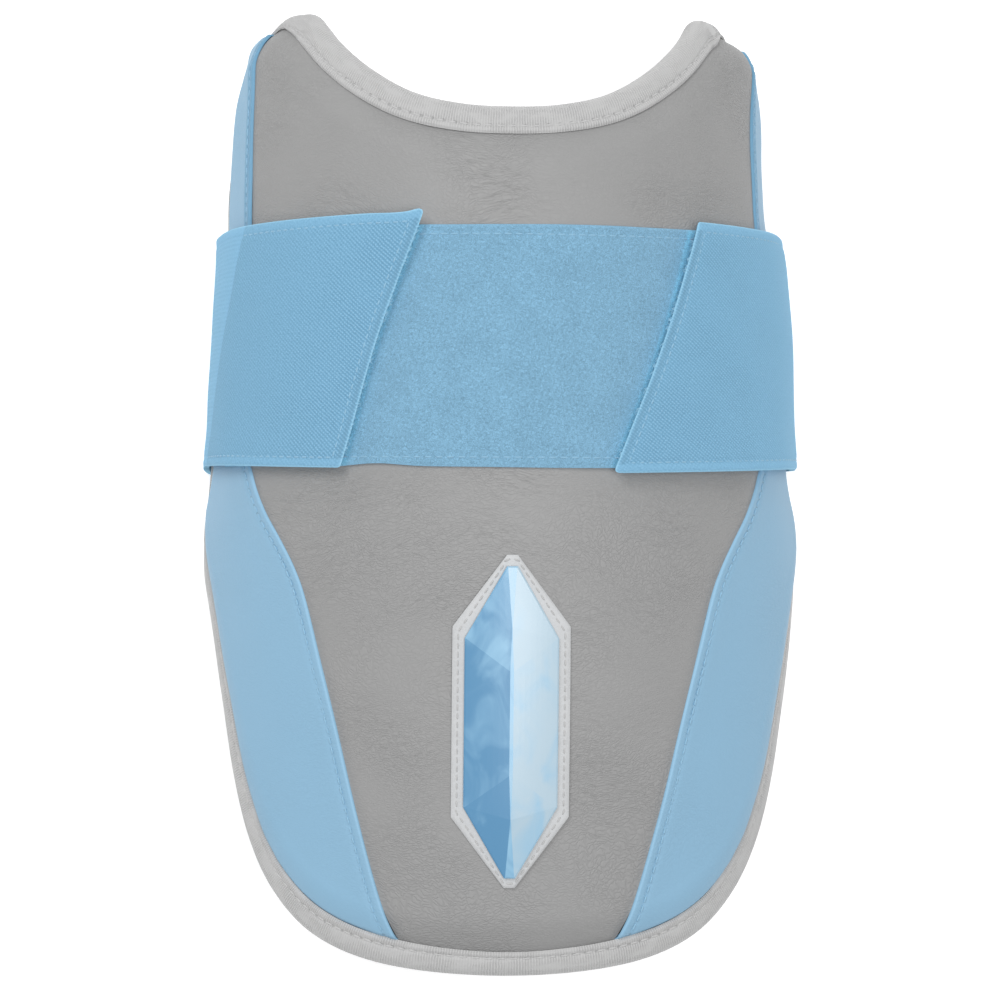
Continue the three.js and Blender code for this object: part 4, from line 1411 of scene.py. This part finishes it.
def badge_face():
    """Glossy moulded facets with painted light and reflection: deep blue where they face left and icy where
    they face right.
    """
    paint = Paint("badge_face", Roughness=0.3, Specular_IOR_Level=0.5, Coat_Weight=0.3, Coat_Roughness=0.2)
    place = paint.node("ShaderNodeTexCoord", output="Object")
    cloud = paint.noise(paint.stretched(place, 1 / MM, 0.55 / MM), 0.13, 3, 0.5, 0.6)
    # Painted light by each facet's facing, with a random cloud of tone added
    facet_light = paint.mark("facet_light") + 0.9 * (cloud - 0.5)
    deep = paint.blend(facet_light.ramp(0.0, 0.5), FACET_DEEP, FACET_CLEAR)
    paint.set("Base Color", paint.blend(facet_light.ramp(0.4, 1.0), deep, FACET_ICY))
    paint.set("Roughness", 0.26 + 0.12 * cloud)
    return paint.material


def thread(name, colour):
    """Twisted sewing thread."""
    paint = Paint(name, Roughness=0.75, Specular_IOR_Level=0.25, Sheen_Weight=0.2)
    place = paint.node("ShaderNodeTexCoord", output="Object")
    twist = paint.noise(paint.stretched(place, 1 / MM, 1 / MM), 1.6, 2)
    paint.set("Base Color", paint.blend(twist, shade(colour, 0.85), shade(colour, 1.12)))
    paint.relief(twist, 0.15, 0.5)
    return paint.material


def wear(piece, material, slot, *nodes):
    """Gives a piece its finish, attaches it to the root body, and hides the solids it stands for."""
    piece.data.materials.clear()
    piece.data.materials.append(material)
    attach(piece, "root")
    if nodes:
        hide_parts(*nodes)
    return piece


# The guard

def seat_inlay(piece):
    """Cuts the inlay's facets finely, gives them painted light by the way they face, and lays them on the
    badge.
    """
    mesh = piece.data
    facet_lights = []
    for polygon in mesh.polygons:
        across = math.tanh(INLAY_SHARP_ACROSS * polygon.normal.x)
        up = math.tanh(INLAY_SHARP_UP * polygon.normal.y)
        facet_lights.append(INLAY_LIGHT + INLAY_LIGHT_ACROSS * across + INLAY_LIGHT_UP * up)
    attribute = mesh.attributes.new("facet_light", "FLOAT", "FACE")
    attribute.data.foreach_set("value", np.array(facet_lights, np.float32))
    apply_modifier(piece, "TRIANGULATE")
    edit_all(piece)
    bpy.ops.mesh.subdivide(number_cuts=INLAY_CUTS)
    bpy.ops.object.mode_set(mode="OBJECT")
    flat = np.array([vertex.co for vertex in mesh.vertices])
    under = GAP + BADGE_THICKNESS + GAP
    points = shell_point(flat[:, 0], BADGE_Y + flat[:, 1], under + flat[:, 2]) * MM
    mesh.vertices.foreach_set("co", points.astype(np.float32).ravel())
    mesh.update()
    return piece


def dress():
    grey = leather("grey_leather", GREY, GREY_GRAIN)
    blue = leather("blue_leather", BLUE, BLUE_GRAIN, seam=True)
    tape = binding_tape()
    blue_thread = thread("blue_thread", THREAD_BLUE)
    grey_thread = thread("grey_thread", THREAD_GREY)
    pale_thread = thread("pale_thread", THREAD_PALE)

    pad = wear(pad_shell(), plain_cloth("pad", PAD_GREY, PAD_WEAVE_PITCH), "pad", "pad_shell")

    front, area = front_cover()
    wear(front, grey, "grey_leather", "front_cover")

    for side in SIGN:
        cover, area = side_cover(side)
        wear(cover, blue, "blue_leather", f"side_cover_{side}")
        stitches = stitch_piece(f"side_cover_{side}_stitches", [seam_stitches(side)])
        wear(stitches, blue_thread, "blue_leather")

    binding, width = edge_binding()
    wear(binding, tape, "binding_tape", "edge_binding")
    stitches = wear(stitch_piece("edge_binding_stitches", [tape_stitches()]), grey_thread, "binding_tape")

    loop = wear(loop_panel(), loop_fabric(), "loop_fabric", "loop_panel")
    stitches = wear(stitch_piece("loop_panel_stitches", loop_stitches()), pale_thread, "loop_fabric")

    hook = plain_cloth("hook_fabric", HOOK_BLUE, HOOK_WEAVE_PITCH)
    for side in SIGN:
        patch, area = hook_patch(side)
        wear(patch, hook, "hook_fabric", f"hook_patch_{side}")

    strap, length = strap_band()
    wear(strap, elastic(), "elastic", "strap")
    stitches = stitch_piece("strap_stitches", [row for side in SIGN for row in strap_stitches(side)])
    wear(stitches, pale_thread, "elastic")
    frayed = stitch_piece("strap_frayed_threads", [frayed_end(side) for side in SIGN])
    wear(frayed, thread("frayed_thread", THREAD_FRAYED), "elastic")

    patch, area = badge_patch()
    wear(patch, badge_border(), "badge_border", "badge_patch")
    stitches = wear(stitch_piece("badge_stitches", [badge_stitches()]), grey_thread, "badge_border")
    wear(seat_inlay(badge_inlay()), badge_face(), "badge_face", "badge_inlay")


# Stage, light and camera

# Places and sizes of the floor and lights are in metres
FLOOR_SIZE, FLOOR_DROP, FLOOR_GLOW = 8, 0.0003, 0.4
SKY_STRENGTH = 0.36
KEY_PLACE, KEY_SIZE, KEY_POWER = (-0.6, 0.9, 1.5), 1.0, 13
FILL_PLACE, FILL_SIZE, FILL_POWER = (0.22, -0.05, 1.8), 1.1, 18
CAMERA_TILT, CAMERA_ROLL = 3.116, 0.281
CAMERA_AIM = (-0.95, -2.4, 30)
CAMERA_DISTANCE = 970
CAMERA_LENS, CAMERA_SENSOR = 133.956, 36


def floor():
    bpy.ops.object.select_all(action="DESELECT")
    bpy.ops.mesh.primitive_plane_add(size=FLOOR_SIZE, location=(0, 0, 0))
    plane = bpy.context.object
    plane.name = "floor"
    edit_all(plane)
    bpy.ops.transform.translate(value=(0, 0, -FLOOR_DROP))
    bpy.ops.object.mode_set(mode="OBJECT")
    paint = Paint("pale_floor", Roughness=0.9, Specular_IOR_Level=0.1)
    paint.set("Base Color", FLOOR_WHITE)
    paint.set("Emission Color", WHITE)
    paint.set("Emission Strength", FLOOR_GLOW)
    plane.data.materials.append(paint.material)


def soft_light(name, place, size, power):
    data = bpy.data.lights.new(name, "AREA")
    data.shape = "DISK"
    data.size = size
    data.energy = power
    lamp = bpy.data.objects.new(name, data)
    bpy.context.collection.objects.link(lamp)
    lamp.location = place
    lamp.rotation_euler = (-lamp.location).to_track_quat("-Z", "Y").to_euler()


def lighting():
    bpy.context.scene.view_settings.view_transform = "Standard"
    world = bpy.data.worlds.new("studio")
    bpy.context.scene.world = world
    world.use_nodes = True
    sky = world.node_tree.nodes["Background"]
    sky.inputs["Color"].default_value = WHITE
    sky.inputs["Strength"].default_value = SKY_STRENGTH
    soft_light("key", KEY_PLACE, KEY_SIZE, KEY_POWER)
    soft_light("fill", FILL_PLACE, FILL_SIZE, FILL_POWER)


def camera():
    tilt, roll = math.radians(CAMERA_TILT), math.radians(CAMERA_ROLL)
    look = np.array([math.sin(tilt), 0, -math.cos(tilt)])
    level = np.array([math.cos(tilt), 0, math.sin(tilt)])
    upright = np.array([0, 1, 0])
    right = math.cos(roll) * level + math.sin(roll) * upright
    up = -math.sin(roll) * level + math.cos(roll) * upright
    place = (np.array(CAMERA_AIM) - look * CAMERA_DISTANCE) * MM
    data = bpy.data.cameras.new("camera")
    data.lens = CAMERA_LENS
    data.sensor_width = CAMERA_SENSOR
    viewer = bpy.data.objects.new("camera", data)
    bpy.context.collection.objects.link(viewer)
    columns = np.stack([right, up, -look, place], -1)
    viewer.matrix_world = Matrix([*columns.tolist(), (0, 0, 0, 1)])
    bpy.context.scene.camera = viewer


dress()
floor()
lighting()
camera()
